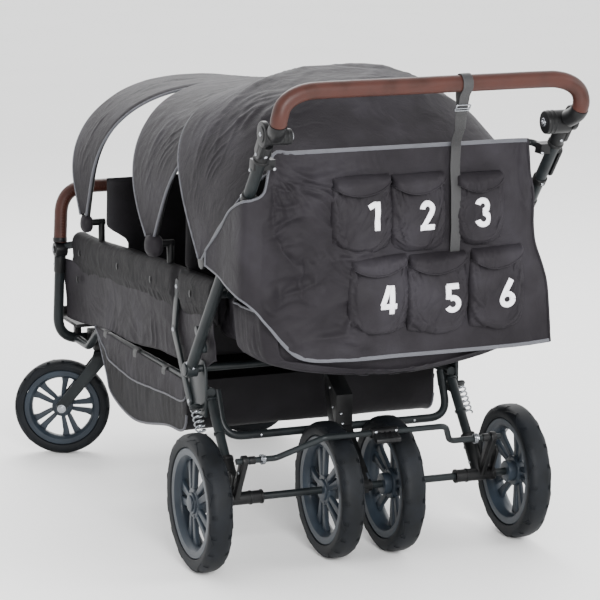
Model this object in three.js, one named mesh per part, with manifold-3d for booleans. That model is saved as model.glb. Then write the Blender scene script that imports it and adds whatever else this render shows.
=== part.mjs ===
// Six-seat pushchair: three double rows under three hoods, a folding handle frame,
// four wheels on one rear axle and two swivelling front wheels.
// Millimetres, +Z up. The front looks towards -Y and the driver's left is +X.
// Inside the model Y = 0 is the rear axle. The finished group stands on its own bottom centre.

import * as THREE from 'three';
import { mergeVertices } from 'three/addons/utils/BufferGeometryUtils.js';
import Module from 'manifold-3d';

const wasm = await Module();
wasm.setup();

// Clearances and making
const seatGap = 0.3;          // air between two pieces that touch
const slideGap = 0.4;         // air round a turning pin
const cutOverrun = 6;         // how far every cut runs past the wall
const weldDistance = 0.0005;  // vertices closer than this are one
const tubeSides = 10;
const wireSides = 6;
const pinSides = 8;
const discSides = 10;
const bendSteps = 3;
const wideBendSteps = 4;
const eyeSteps = 3;

// Rear wheels and axle
const rearWheelRadius = 147;
const rearTyreWidth = 54;
const rearRimRadius = 117;
const outerWheelX = 365;
const innerWheelX = 70;
const axleHeight = rearWheelRadius;
const axleRadius = 8;
const axleOverhang = 6;

// Front wheels, forks and their swivels
const frontWheelRadius = 116;
const frontTyreWidth = 44;
const frontRimRadius = 92;
const frontAxleRadius = 6;
const swivelX = 239;
const casterTrail = 100;
const leftCasterTurn = 112;     // degrees that each fork stands turned from straight behind
const rightCasterTurn = 129;
const forkArmThickness = 6;
const forkArmWidth = 26;
const forkGapToTyre = 4;
const crownHeight = 14;
const crownBottom = 243;
const crownRadius = 20;
const stemRadius = 9;
const stemLength = 40;
const housingHeight = 46;
const housingRadius = 24;
const housingSeat = 1;

// Wheel section and spokes
const wheelSegments = 20;
const rimWallShare = 0.8;          // of the tyre width
const rimInnerShare = 0.78;        // inner edge of the rim band, of the rim radius
const rimBandShare = 0.86;         // where the band starts to flare, of the rim radius
const spokeCount = 5;
const spokeThicknessShare = 0.26;  // of the tyre width
const hubRadiusShare = 0.22;       // of the rim radius
const hubWidthShare = 0.96;        // of the tyre width
const windowInnerShare = 0.34;
const windowOuterShare = 0.74;
const windowHalfAngle = 21;        // degrees, the wide openings between the spoke pairs
const windowTaperShare = 0.72;     // the inner end of a window is this much narrower in angle
const slotHalfAngle = 4.5;         // degrees, the slot inside each spoke pair
const slotInnerShare = 0.4;
const slotOuterShare = 0.7;
const beadShare = 0.12;            // the tyre's bead, of its width
const treadShare = 0.31;           // the flat of the tread, of the tyre width
const shoulderWidthShare = 0.81;
const shoulderShare = 0.93;        // the shoulder's radius, between rim and tread
const capRadiusShare = 0.17;
const capHeight = 5;

// Lower rails and the plates that carry the fold pivot
const railX = 283;
const railRadius = 10;
const railRearY = -150;
const railRearZ = 345;
const railFrontZ = 275;
const railRiseZ = 330;
const plateThickness = 6;
const plateSink = 1;           // how far a side plate reaches into its rail
const pivotY = -164;
const pivotZ = 397;
const pivotRadius = 8;
const plateEyeRadius = 18;
const strutFootY = -232;
const strutFootZ = 310;
const linkFootY = -223;
const linkFootZ = 385;
const boltRadius = 4;
const boltHeadRadius = 8;
const boltHeadHeight = 3;

// Rear legs, centre leg, cross tube and axle brackets
const legRadius = 10.5;
const legStart = 22;
const legSocketLength = 96;
const legSocketRadius = 15;
const bracketWidth = 42;
const bracketSleeveRadius = 14;
const bracketSleeveLength = 80;
const brakeArmWidth = 24;
const brakeArmThickness = 12;
const centreLegHalfWidth = 17;
const centreLegDepth = 24;
const crossTubeRadius = 9;
const crossTubeY = -125;
const crossTubeZ = 250;
const crossTubeBend = 40;
const springRadius = 10;
const springWire = 1.9;
const springTurns = 6;
const springSteps = 7;         // round each turn
const springWireSides = 5;
const springOffset = 27;
const springTop = 232;         // along the leg, from the axle
const springBottom = 158;
const springSeatThickness = 5;
const springSeatRadius = 13;

// Front frame, bumper bar and footrest
const postX = 330;
const postTopY = -1085;
const postTopZ = 505;
const postFootY = -1118;
const postFootZ = 275;
const postRadius = 12.5;
const postBend = 52;
const swivelSetback = 74;      // the swivels stand this far behind the post's foot
const swivelY = postFootY + swivelSetback;
const railRiseSetback = 188;   // where the lower rail starts to rise, behind the post's foot
const railRiseY = postFootY + railRiseSetback;
const knuckleRadius = 18;
const knuckleWidth = 30;
const bumperRadius = 16;
const bumperTopZ = 662;
const bumperLean = 15;
const bumperTopY = postTopY - bumperLean;
const bumperBend = 78;
const footrestReach = 77;      // in front of the post's foot
const footrestBehind = 63;
const footrestFrontY = postFootY - footrestReach;
const footrestRearY = postFootY + footrestBehind;
const footrestZ = 322;
const footrestThickness = 8;
const footrestLip = 20;

// Side rails, side walls and struts
const sideRailX = 290;
const sideRailRadius = 9;
const stopPinRadius = 8;
const sideRailFrontZ = 524;
const sideRailSetback = 40;    // behind the post's top, where the rail turns straight
const sideRailFrontY = postTopY + sideRailSetback;
const sideRailMidY = -520;
const sideRailMidZ = 560;
const sideRailRearY = -8;
const sideRailRearZ = 585;
const wallRollRadius = 21;
const wallThickness = 7;
const wallArcSteps = 12;
const wallDrop = 150;
const wallSetback = 65;        // behind the post's top
const wallFrontY = postTopY + wallSetback;
const wallRearY = -74;
const strutThickness = 6;
const strutWidth = 24;
const strutKneeY = -330;
const strutKneeZ = 450;
const strutTopY = -300;
const linkThickness = 5;
const linkWidth = 19;
const linkTopY = -155;
const linkTopZ = 482;

// Handle frame
const handleX = 324;
const handleRadius = 12.5;
const hubY = 301;
const hubZ = 957;
const handleEyeRadius = 17;
const handleCollarRadius = 15.5;
const handleCollarLength = 16;
const collarAt = 544;          // along the tube, from the fold pivot
const ratchetSleeveLength = 68;
const ratchetRadius = 20;
const ratchetSides = 12;
const ratchetOuterX = 343;
const ratchetFace = 13;        // thickness of the housing's outer disc
const ratchetStep = 4;         // the neck lies this far inside the disc's face
const barKnuckleRadius = 18;
const ratchetInnerX = 263;
const handleCrossRadius = 7;
const handleCrossY = 204;
const handleCrossZ = 903;
const handleCrossSetback = 14;
const tabThickness = 5;
const leverLength = 64;
const leverWidth = 20;
const leverThickness = 7;
const leverPivotAt = 640;

// Handlebar
const barCoreRadius = 12.5;
const gripRadius = 17;
const barEndX = 327;
const barEndY = 342;
const barEndZ = 1003;
const barTopY = 369;
const barTopZ = 1054;
const barBend = 44;
const barFootX = 313;
const barBendSteps = 3;
const gripStart = 36;

// Brake bar and pedal
const brakeRadius = 6.5;
const brakeY = 58;
const brakeZ = 243;
const brakeEndX = 304;
const brakeMidY = 96;
const brakeMidZ = 287;
const brakeLeftKneeX = 215;
const brakeLeftRiseX = 120;
const brakeRightRiseX = -158;
const brakeRightKneeX = -184;
const brakeBend = 16;
const pedalWidth = 56;
const pedalX = -14;
const pedalHeight = 26;
const pedalDepth = 22;

// Hoods: each bow stands on the hood's pivot and leans forward by its angle in degrees
const bowRadius = 4;
const bowDiscRadius = 18;
const bowDiscThickness = 7;
const bowWireFoot = 10;
const hoodClothThickness = 3;
const hoodClothOverhang = 2.5;  // degrees past each bow
const hoodFoot = 30;
const hoodArcSteps = 12;
const sideLeanPower = 12;       // how sharply the rear hood's edge turns back at its sides
const hoodClipLength = 26;
const hoodClipWall = 4;
const hoodPostRadius = 8;
const hoodWidth = 336;          // half the widest bow
const hoodHeight = 438;         // the tallest bow, from its pivot
const hoodLeg = 150;            // the longest straight leg
const frontHoodSetback = 205;   // pivot behind the post's top
const frontHoodPivotZ = 602;
const middleHoodPivotY = -387;
const middleHoodPivotZ = 632;
const rearHoodPivotY = -56;
const rearHoodPivotZ = 652;

// One bow: its lean, its half width, height and leg as shares, and how round its top is
const bowOf = ([lean, widthShare, heightShare, legShare, roundness, sideLean]) => ({
  lean,
  halfWidth: hoodWidth * widthShare,
  height: hoodHeight * heightShare,
  leg: hoodLeg * legShare,
  roundness,
  sideLean,
});
const frontBowShares = [
  [30, 0.988, 0.822, 0.567, 0.9],
  [-22.6, 0.964, 0.822, 0.6, 0.73],
];
const middleBowShares = [
  [44, 0.994, 1, 0.3, 0.84],
  [-33, 0.97, 0.879, 0.6, 0.7],
];
const rearBowShares = [
  [38.6, 1, 0.968, 0.367, 0.62],
  [14, 1, 0.922, 0.4, 0.85],
  [-16, 1, 0.886, 0.4, 0.95],
  [-42, 0.988, 0.804, 0.733, 0.75, -49],
];
const hoods = {
  front: { pivotY: postTopY + frontHoodSetback, pivotZ: frontHoodPivotZ, bows: frontBowShares.map(bowOf) },
  middle: { pivotY: middleHoodPivotY, pivotZ: middleHoodPivotZ, bows: middleBowShares.map(bowOf) },
  rear: { pivotY: rearHoodPivotY, pivotZ: rearHoodPivotZ, bows: rearBowShares.map(bowOf) },
};

// Seats
const seatHalfWidth = sideRailX - wallRollRadius - seatGap;
const seatBaseZ = 386;
const seatThickness = 26;
const seatCrown = 20;
const seatDepth = 250;
const seatBackHeight = 340;
const seatBackLean = 34;
const seatBackThickness = 22;
const frontSeatY = -782;
const middleSeatY = -292;

// Rear tub: the sling and sides of the last row
const tubHalfWidth = 304;
const tubFrontY = -138;
const tubWideY = 42;
const tubLowY = 112;
const tubCornerY = 168;
const tubRearY = 196;
const tubFloorZ = 414;
const tubSag = 16;
const tubWall = 4;
const tubFloorThickness = 16;
const tubFrontTopZ = 520;
const tubSideTopZ = 581;

// Basket, drawn from the side
const basketWall = 4;
const basketTopZ = 345;
const basketLowZ = 178;
const basketSetback = 12;      // behind the place where the lower rail rises
const basketFrontY = railRiseY + basketSetback;
const basketRearY = -272;
const basketShares = [         // along its length and up its height
  [0, 1],
  [0.119, 0.419],
  [0.189, 0.138],
  [0.447, 0],
  [0.785, 0.222],
  [0.978, 0.347],
  [1, 1],
];

// Rear panel: its hem, its height and the wing round the left handle tube
const panelY = 215;
const panelThickness = 3;
const panelBulge = 10;
const panelHemZ = 476;
const panelHeight = 430;
const panelWingX = 343;
const panelWingReach = 229;    // how far forward the wing's tip lies
const panelTightX = handleX + handleRadius + seatGap + panelThickness / 2;
const tightShare = panelTightX / panelWingX;

// The creases that fan out from the panel's upper left corner
const foldDepth = 7;
const foldReach = 250;         // from the corner to where a crease has faded out
const foldCornerX = 312;
const foldCornerZ = 836;
const foldTurns = 7;           // waves in a full turn round the corner
const foldPhase = 20;          // degrees

// One entry for each column from the right edge to the wing's tip, in shares of the wing's
// place, its reach and the height: top, hem, points between, swell and the way it looks
const panelShares = [
  {
    top: [-0.819, 0, 0.998],
    mids: [[-0.857, -0.004, 0.714], [-0.875, -0.009, 0.521], [-0.959, -0.004, 0.312]],
    hem: [-0.997, 0.013, 0.009],
    out: [-0.4, 0.92],
  },
  { top: [-0.7, 0, 1], hem: [-0.781, -0.004, 0.002], swell: 0.7, out: [0, 1] },
  { top: [-0.35, 0, 1], hem: [-0.379, -0.009, 0], swell: 1, out: [0, 1] },
  { top: [0, 0, 1], hem: [0, -0.009, 0], swell: 1, out: [0, 1] },
  { top: [0.35, 0, 1], hem: [0.362, -0.004, 0], swell: 1, out: [0, 1] },
  { top: [0.525, 0, 1], hem: [0.505, 0.017, 0.012], swell: 0.9, fold: 0.6, out: [0, 1] },
  { top: [0.7, 0, 1], hem: [0.647, 0.039, 0.026], swell: 0.8, fold: 1, out: [0, 1] },
  { top: [0.76, 0, 0.999], hem: [0.746, 0.039, 0.1], swell: 0.6, fold: 1, out: [0, 1] },
  { top: [0.819, 0, 0.998], hem: [0.845, 0.039, 0.186], swell: 0.4, fold: 0.6, out: [0.1, 0.99] },
  { top: [0.875, 0, 0.837], hem: [0.91, 0.052, 0.249], swell: 0.2, out: [0.3, 0.95] },
  { top: [0.945, 0.011, 0.8], hem: [0.965, 0.092, 0.293], out: [0.6, 0.8] },
  { top: [1, 0.074, 0.786], hem: [1, 0.188, 0.319], out: [1, 0.1] },
  { top: [1, 0.38, 0.721], hem: [1, 0.459, 0.344], out: [1, 0] },
  { top: [tightShare, 0.677, 0.607], hem: [tightShare, 0.721, 0.37], out: [1, 0] },
  { top: [1, 1, 0.479], hem: [1, 1.017, 0.398], out: [1, 0] },
];
const pocketWidth = 118;
const pocketDepth = 34;
const pocketLip = 8;
// The rows of pockets: middle and height of a row, and where each pocket's middle lies across
const pocketRowShares = [
  { up: 0.698, tall: 0.342, across: [0.268, -0.105, -0.536] },
  { up: 0.309, tall: 0.4, across: [0.163, -0.233, -0.627] },
];

// Strap
const strapWidth = 24;
const strapThickness = 2;
const strapTopX = -66;
const strapPoints = [
  [-68, 364, 1022],
  [-70, 352, 1004],
  [-96, 285, 950],
  [-111, 232, 914],
  [-111, 229, 880],
  [-111, 232, 780],
  [-111, 232, 694],
];

// Colours and finishes
const finishes = {
  frame: { color: 0x4a5150, roughness: 0.38, metalness: 0.75 },
  black: { color: 0x17181a, roughness: 0.5, metalness: 0.0 },
  tyre: { color: 0x1b1c1e, roughness: 0.8, metalness: 0.0 },
  rim: { color: 0x4c545b, roughness: 0.45, metalness: 0.1 },
  steel: { color: 0xb9bcc0, roughness: 0.25, metalness: 0.95 },
  leather: { color: 0x6b3f33, roughness: 0.55, metalness: 0.0 },
  cloth: { color: 0x49464b, roughness: 0.85, metalness: 0.0 },
  lining: { color: 0x232325, roughness: 0.9, metalness: 0.0 },
  webbing: { color: 0x3a3a3d, roughness: 0.8, metalness: 0.0 },
};
const materials = Object.fromEntries(
  Object.entries(finishes).map(([name, finish]) => [name, new THREE.MeshStandardMaterial(finish)]),
);

const rad = THREE.MathUtils.degToRad;
const vec = (x, y, z) => new THREE.Vector3(x, y, z);

// Solids: a geometry becomes a solid for a join or a cut, and comes back as a geometry
function toSolid(geometry) {
  const bare = geometry.clone();
  bare.deleteAttribute('normal');
  bare.deleteAttribute('uv');
  const merged = mergeVertices(bare, weldDistance);
  return new wasm.Manifold(new wasm.Mesh({
    numProp: 3,
    vertProperties: new Float32Array(merged.attributes.position.array),
    triVerts: new Uint32Array(merged.index.array),
  }));
}

function toGeometry(solid) {
  const mesh = solid.getMesh();
  const geometry = new THREE.BufferGeometry();
  geometry.setAttribute('position', new THREE.BufferAttribute(mesh.vertProperties, 3));
  geometry.setIndex(new THREE.BufferAttribute(mesh.triVerts, 1));
  geometry.computeVertexNormals();
  return geometry;
}

const join = (...geometries) => toGeometry(geometries.map(toSolid).reduce((a, b) => a.add(b)));
const cut = (geometry, ...tools) => toGeometry(
  tools.map(toSolid).reduce((a, b) => a.subtract(b), toSolid(geometry)),
);

function mirrored(geometry) {
  const source = geometry.index ? geometry.toNonIndexed() : geometry;
  const from = source.attributes.position.array;
  const to = new Float32Array(from.length);
  for (let i = 0; i < from.length; i += 9) {
    for (const [a, b] of [[0, 0], [1, 2], [2, 1]]) {
      to[i + 3 * a] = -from[i + 3 * b];
      to[i + 3 * a + 1] = from[i + 3 * b + 1];
      to[i + 3 * a + 2] = from[i + 3 * b + 2];
    }
  }
  const flipped = new THREE.BufferGeometry();
  flipped.setAttribute('position', new THREE.BufferAttribute(to, 3));
  flipped.computeVertexNormals();
  return flipped;
}

// A bent tube's centre line: straight runs with round bends at the corners
class BentPath extends THREE.Curve {
  constructor(stations) {
    super();
    this.stations = stations;
  }

  at(u, key) {
    const place = u * (this.stations.length - 1);
    const index = Math.min(Math.floor(place + 1e-6), this.stations.length - 2);
    const share = Math.max(place - index, 0);
    return this.stations[index][key].clone().lerp(this.stations[index + 1][key], share);
  }

  getPoint(u) {
    return this.at(u, 'point');
  }

  getPointAt(u) {
    return this.at(u, 'point');
  }

  getTangent(u) {
    return this.at(u, 'tangent').normalize();
  }

  getTangentAt(u) {
    return this.at(u, 'tangent').normalize();
  }
}

function bentPath(corners, bendRadius, steps = bendSteps) {
  const directions = corners.slice(1).map((corner, i) => corner.clone().sub(corners[i]).normalize());
  const stations = [{ point: corners[0], tangent: directions[0] }];
  for (let i = 1; i < corners.length - 1; i += 1) {
    const before = directions[i - 1];
    const after = directions[i];
    const angle = before.angleTo(after);
    const inwards = after.clone().addScaledVector(before, -before.dot(after)).normalize();
    const start = corners[i].clone().addScaledVector(before, -bendRadius * Math.tan(angle / 2));
    for (let k = 0; k <= steps; k += 1) {
      const turn = angle * k / steps;
      const point = start.clone()
        .addScaledVector(before, bendRadius * Math.sin(turn))
        .addScaledVector(inwards, bendRadius * (1 - Math.cos(turn)));
      const tangent = before.clone().multiplyScalar(Math.cos(turn)).addScaledVector(inwards, Math.sin(turn));
      stations.push({ point, tangent });
    }
  }
  stations.push({ point: corners.at(-1), tangent: directions.at(-1) });
  return new BentPath(stations);
}

function circle(radius, sides = tubeSides) {
  const points = [];
  for (let i = 0; i < sides; i += 1) {
    const turn = 2 * Math.PI * i / sides;
    points.push(new THREE.Vector2(radius * Math.cos(turn), radius * Math.sin(turn)));
  }
  return new THREE.Shape(points);
}

function sweep(shape, path) {
  const steps = path.stations.length - 1;
  return new THREE.ExtrudeGeometry(shape, { steps, bevelEnabled: false, extrudePath: path });
}

const tube = (corners, radius, bendRadius = 0, sides = tubeSides, steps = bendSteps) => (
  sweep(circle(radius, sides), bentPath(corners, bendRadius, steps))
);
const rod = (from, to, radius, sides = tubeSides) => tube([from, to], radius, 0, sides);
const rodX = (x0, x1, y, z, radius, sides = tubeSides) => rod(vec(x0, y, z), vec(x1, y, z), radius, sides);

// The radius of a many-sided hole that a round pin turns in freely
const turningHole = (pinRadius, sides = tubeSides) => (pinRadius + slideGap) / Math.cos(Math.PI / sides);

const polar = (radius, turn) => new THREE.Vector2(radius * Math.cos(turn), radius * Math.sin(turn));

// A flat piece whose outline is drawn in Y and Z and whose thickness runs along X
const sideways = new THREE.Matrix4().makeBasis(vec(0, 1, 0), vec(0, 0, 1), vec(1, 0, 0));
function sidePlate(shape, x0, x1) {
  const solid = new THREE.ExtrudeGeometry(shape, { depth: x1 - x0, bevelEnabled: false });
  return solid.applyMatrix4(sideways).translate(x0, 0, 0);
}

// An outline round a straight bar with round ends, from one eye to the other
function barOutline(from, to, width, endSteps = eyeSteps) {
  const along = Math.atan2(to[1] - from[1], to[0] - from[0]);
  const points = [];
  for (const [eye, start] of [[to, along - Math.PI / 2], [from, along + Math.PI / 2]]) {
    for (let k = 0; k <= endSteps; k += 1) {
      const turn = start + Math.PI * k / endSteps;
      points.push(polar(width / 2, turn).add(new THREE.Vector2(...eye)));
    }
  }
  return new THREE.Shape(points);
}

// A closed sheet between an outer and an inner grid of points
function shell(outer, inner) {
  const rows = outer.length;
  const columns = outer[0].length;
  const points = [...outer.flat(), ...inner.flat()];
  const index = (side, i, j) => side * rows * columns + i * columns + j;
  const faces = [];
  const quad = (a, b, c, d) => faces.push(a, b, c, a, c, d);
  for (let i = 0; i < rows - 1; i += 1) {
    for (let j = 0; j < columns - 1; j += 1) {
      quad(index(0, i, j), index(0, i + 1, j), index(0, i + 1, j + 1), index(0, i, j + 1));
      quad(index(1, i, j), index(1, i, j + 1), index(1, i + 1, j + 1), index(1, i + 1, j));
    }
  }
  const right = columns - 1;
  const last = rows - 1;
  for (let i = 0; i < last; i += 1) {
    quad(index(0, i, 0), index(1, i, 0), index(1, i + 1, 0), index(0, i + 1, 0));
    quad(index(0, i + 1, right), index(1, i + 1, right), index(1, i, right), index(0, i, right));
  }
  for (let j = 0; j < right; j += 1) {
    quad(index(0, 0, j + 1), index(1, 0, j + 1), index(1, 0, j), index(0, 0, j));
    quad(index(0, last, j), index(1, last, j), index(1, last, j + 1), index(0, last, j + 1));
  }
  let volume = 0;
  for (let f = 0; f < faces.length; f += 3) {
    const [a, b, c] = [points[faces[f]], points[faces[f + 1]], points[faces[f + 2]]];
    volume += a.dot(b.clone().cross(c));
  }
  if (volume < 0) {
    for (let f = 0; f < faces.length; f += 3) {
      [faces[f + 1], faces[f + 2]] = [faces[f + 2], faces[f + 1]];
    }
  }
  const geometry = new THREE.BufferGeometry();
  const places = new Float32Array(points.flatMap((point) => point.toArray()));
  geometry.setAttribute('position', new THREE.BufferAttribute(places, 3));
  geometry.setIndex(faces);
  geometry.computeVertexNormals();
  return geometry;
}

// The model's tree: one group for each thing that moves
const stroller = new THREE.Group();
const pieces = new THREE.Group();
stroller.add(pieces);

function add(name, geometry, material, parent = pieces) {
  const mesh = new THREE.Mesh(geometry, materials[material]);
  mesh.name = name;
  parent.add(mesh);
  return mesh;
}

function addPair(name, geometry, material, parent = pieces) {
  add(`${name}_left`, geometry, material, parent);
  add(`${name}_right`, mirrored(geometry), material, parent);
}

// Wheels lie round the X axis while they are made
function ring(profile, segments = wheelSegments) {
  const points = profile.map(([radius, x]) => new THREE.Vector2(radius, x));
  return new THREE.LatheGeometry([...points, points[0]], segments).rotateZ(-Math.PI / 2);
}

function tyreShape(radius, rimRadius, width) {
  const bead = rimRadius + seatGap;
  const half = width / 2;
  const shoulder = bead + (radius - bead) * shoulderShare;
  const belly = bead + (radius - bead) / 2;
  return ring([
    [bead, -half + width * beadShare],
    [belly, -half],
    [shoulder, -half * shoulderWidthShare],
    [radius, -half * treadShare],
    [radius, half * treadShare],
    [shoulder, half * shoulderWidthShare],
    [belly, half],
    [bead, half - width * beadShare],
  ]);
}

// One opening of the spoke disc, between two radii, narrower towards the hub
function discWindow(centre, halfAngle, innerRadius, outerRadius, taper) {
  return new THREE.Path([
    polar(innerRadius, centre - halfAngle * taper),
    polar(outerRadius, centre - halfAngle),
    polar(outerRadius, centre + halfAngle),
    polar(innerRadius, centre + halfAngle * taper),
  ]);
}

// The slot inside a pair of spokes, the same width all along
function discSlot(centre, halfAngle, innerRadius, outerRadius) {
  return new THREE.Path([
    polar(innerRadius, centre - halfAngle),
    polar(outerRadius, centre - halfAngle),
    polar(outerRadius, centre + halfAngle),
    polar(innerRadius, centre + halfAngle),
  ]);
}

function rimShape(rimRadius, tyreWidth, boreRadius, cappedEnd) {
  const half = tyreWidth * rimWallShare / 2;
  const spokeHalf = tyreWidth * spokeThicknessShare / 2;
  const innerRadius = rimRadius * rimInnerShare;
  const band = ring([
    [innerRadius, -spokeHalf],
    [rimRadius * rimBandShare, -half],
    [rimRadius, -half],
    [rimRadius, half],
    [rimRadius * rimBandShare, half],
    [innerRadius, spokeHalf],
  ]);
  const disc = circle(rimRadius * (rimInnerShare + rimBandShare) / 2, wheelSegments);
  const step = 2 * Math.PI / spokeCount;
  for (let i = 0; i < spokeCount; i += 1) {
    const outer = rimRadius * windowOuterShare;
    const inner = rimRadius * windowInnerShare;
    disc.holes.push(discWindow(i * step, rad(windowHalfAngle), inner, outer, windowTaperShare));
    const slot = [rimRadius * slotInnerShare, rimRadius * slotOuterShare];
    disc.holes.push(discSlot((i + 1 / 2) * step, rad(slotHalfAngle), ...slot));
  }
  const spokes = sidePlate(disc, -spokeHalf, spokeHalf);
  const hubHalf = tyreWidth * hubWidthShare / 2;
  const hub = rodX(-hubHalf, hubHalf, 0, 0, rimRadius * hubRadiusShare, pinSides);
  const cap = rodX(hubHalf - capHeight, hubHalf + capHeight, 0, 0, rimRadius * capRadiusShare);
  const boreEnd = cappedEnd ? hubHalf - capHeight : hubHalf + cutOverrun;
  const bore = rodX(-hubHalf - cutOverrun, boreEnd, 0, 0, boreRadius);
  return cut(cappedEnd ? join(band, spokes, hub, cap) : join(band, spokes, hub), bore);
}

const rearTyre = tyreShape(rearWheelRadius, rearRimRadius, rearTyreWidth);
const outerRim = rimShape(rearRimRadius, rearTyreWidth, turningHole(axleRadius), true);
const innerRim = rimShape(rearRimRadius, rearTyreWidth, turningHole(axleRadius), false);

function rearWheel(name, x, rim) {
  const wheel = new THREE.Group();
  wheel.position.set(x, 0, axleHeight);
  pieces.add(wheel);
  add(`rim_${name}`, rim, 'rim', wheel);
  add(`tyre_${name}`, rearTyre, 'tyre', wheel);
}

rearWheel('rear_outer_left', outerWheelX, outerRim);
rearWheel('rear_inner_left', innerWheelX, innerRim);
rearWheel('rear_inner_right', -innerWheelX, mirrored(innerRim));
rearWheel('rear_outer_right', -outerWheelX, mirrored(outerRim));

// The axle runs through the two middle wheels and ends under the caps of the outer ones
const hubHalfWidth = rearTyreWidth * hubWidthShare / 2;
const axleHalf = outerWheelX + hubHalfWidth - capHeight - axleOverhang;
add('rear_axle', rodX(-axleHalf, axleHalf, 0, axleHeight, axleRadius), 'black');

// Rear leg: from the axle bracket up to the lower rail, coped round it
const legFoot = vec(railX, 0, axleHeight);
const legTop = vec(railX, pivotY, railRearZ);
const legAxis = legTop.clone().sub(legFoot).normalize();
const legForward = vec(0, -legAxis.z, legAxis.y);
const onLeg = (distance, forward = 0, x = railX) => legFoot.clone()
  .addScaledVector(legAxis, distance).addScaledVector(legForward, forward).setX(x);
const railCorners = (radiusGrow = 0) => ({
  points: [
    vec(railX, postFootY + postRadius + seatGap - radiusGrow, railFrontZ),
    vec(railX, postFootY + postBend * 2, railFrontZ),
    vec(railX, railRiseY, railRiseZ),
    vec(railX, railRearY, railRearZ),
  ],
  radius: railRadius + radiusGrow,
});
const railTube = (grow = 0) => {
  const { points, radius } = railCorners(grow);
  return tube(points, radius, postBend);
};
const plateX0 = railX + railRadius - plateSink;
const plateX1 = railX + railRadius + plateThickness;
const springX = railX + railRadius + plateThickness + springSeatRadius + 1.5 * seatGap;
const springSeat = (distance, up) => rod(
  onLeg(distance, springOffset, springX),
  onLeg(distance + up * springSeatThickness, springOffset, springX),
  springSeatRadius,
  pinSides,
);
const lugAt = springBottom - springSeatThickness / 2;
const legLug = rod(onLeg(lugAt), onLeg(lugAt, springOffset, springX), boltRadius, wireSides);
const legTube = join(
  rod(onLeg(legStart), legTop, legRadius),
  legLug,
  springSeat(springBottom, -1),
);

// Its lower end: a sleeve on the axle, a socket round the leg and an arm for the brake bar
const bracketX0 = railX - bracketWidth / 2;
const bracketX1 = railX + bracketWidth / 2;
const besidePlate = new THREE.BoxGeometry(legRadius, 4 * plateEyeRadius, 4 * plateEyeRadius)
  .translate(plateX0 - seatGap + legRadius / 2, legTop.y, strutFootZ + plateEyeRadius);
const bracketBody = join(
  cut(legTube, railTube(seatGap), besidePlate),
  rodX(bracketX1 - bracketSleeveLength, bracketX1 + bracketWidth / 3, 0, axleHeight, bracketSleeveRadius),
  rod(legFoot, onLeg(legSocketLength), legSocketRadius),
  sidePlate(
    barOutline([0, axleHeight], [brakeY, brakeZ], brakeArmWidth),
    bracketX1 - 2 * brakeArmThickness,
    bracketX1 - brakeArmThickness,
  ),
);
const bracketShape = cut(
  bracketBody,
  rodX(bracketX0 - bracketSleeveLength, bracketX1 + bracketWidth, 0, axleHeight, axleRadius + seatGap),
  rodX(bracketX0, bracketX1 + cutOverrun, brakeY, brakeZ, turningHole(brakeRadius)),
);
addPair('rear_leg', bracketShape, 'frame');

// The least air between two turns of one wire, measured between its points
function printLeastGap(name, points, wireRadius, apart) {
  let least = Infinity;
  points.forEach((point, i) => points.slice(i + apart).forEach((other) => {
    least = Math.min(least, point.distanceTo(other) - 2 * wireRadius);
  }));
  console.log(`${name}: least gap to itself ${least.toFixed(2)} mm`);
}

// Coil spring between the leg and the side plate, one unbroken wire
const helixFrom = onLeg(springBottom + springWire + seatGap, springOffset, springX);
const helixTo = onLeg(springTop - springWire - seatGap, springOffset, springX);
function springCoil() {
  const axis = helixTo.clone().sub(helixFrom);
  const length = axis.length();
  axis.normalize();
  const side = vec(1, 0, 0);
  const other = axis.clone().cross(side);
  const stations = [];
  const count = springTurns * springSteps;
  for (let i = 0; i <= count; i += 1) {
    const share = i / count;
    const turn = 2 * Math.PI * springTurns * share;
    const out = side.clone().multiplyScalar(Math.cos(turn)).addScaledVector(other, Math.sin(turn));
    const around = side.clone().multiplyScalar(-Math.sin(turn)).addScaledVector(other, Math.cos(turn));
    const point = helixFrom.clone().addScaledVector(axis, length * share).addScaledVector(out, springRadius);
    const rise = length / (2 * Math.PI * springTurns * springRadius);
    stations.push({ point, tangent: around.addScaledVector(axis, rise).normalize() });
  }
  printLeastGap('spring', stations.map((station) => station.point), springWire, Math.floor(springSteps / 2));
  return sweep(circle(springWire, springWireSides), new BentPath(stations));
}
addPair('spring', springCoil(), 'steel');

// Lower rail with its side plate: the plate holds the fold pivot, the strut, the link and the spring
const plateOutline = new THREE.Shape([
  [strutFootY - plateEyeRadius, strutFootZ + plateEyeRadius / 2],
  [strutFootY - plateEyeRadius / 2, strutFootZ - plateEyeRadius],
  [pivotY + plateEyeRadius, strutFootZ - plateEyeRadius],
  [pivotY + plateEyeRadius, pivotZ],
  [pivotY + plateEyeRadius / 2, pivotZ + plateEyeRadius],
  [pivotY - plateEyeRadius / 2, pivotZ + plateEyeRadius],
  [linkFootY, linkFootZ + plateEyeRadius * 0.8],
  [linkFootY - plateEyeRadius * 0.8, linkFootZ],
].map(([y, z]) => new THREE.Vector2(y, z)));
const plate = sidePlate(plateOutline, plateX0, plateX1);
const upperLugAt = springTop + springSeatThickness / 2;
const upperSeat = join(
  springSeat(springTop, 1),
  rod(onLeg(upperLugAt, springOffset, plateX0), onLeg(upperLugAt, springOffset, springX), boltRadius, wireSides),
);
const railShape = cut(
  join(railTube(), plate, upperSeat),
  rodX(plateX0 - cutOverrun, plateX1 + cutOverrun, pivotY, pivotZ, pivotRadius + seatGap),
);
addPair('lower_rail', railShape, 'frame');

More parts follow.
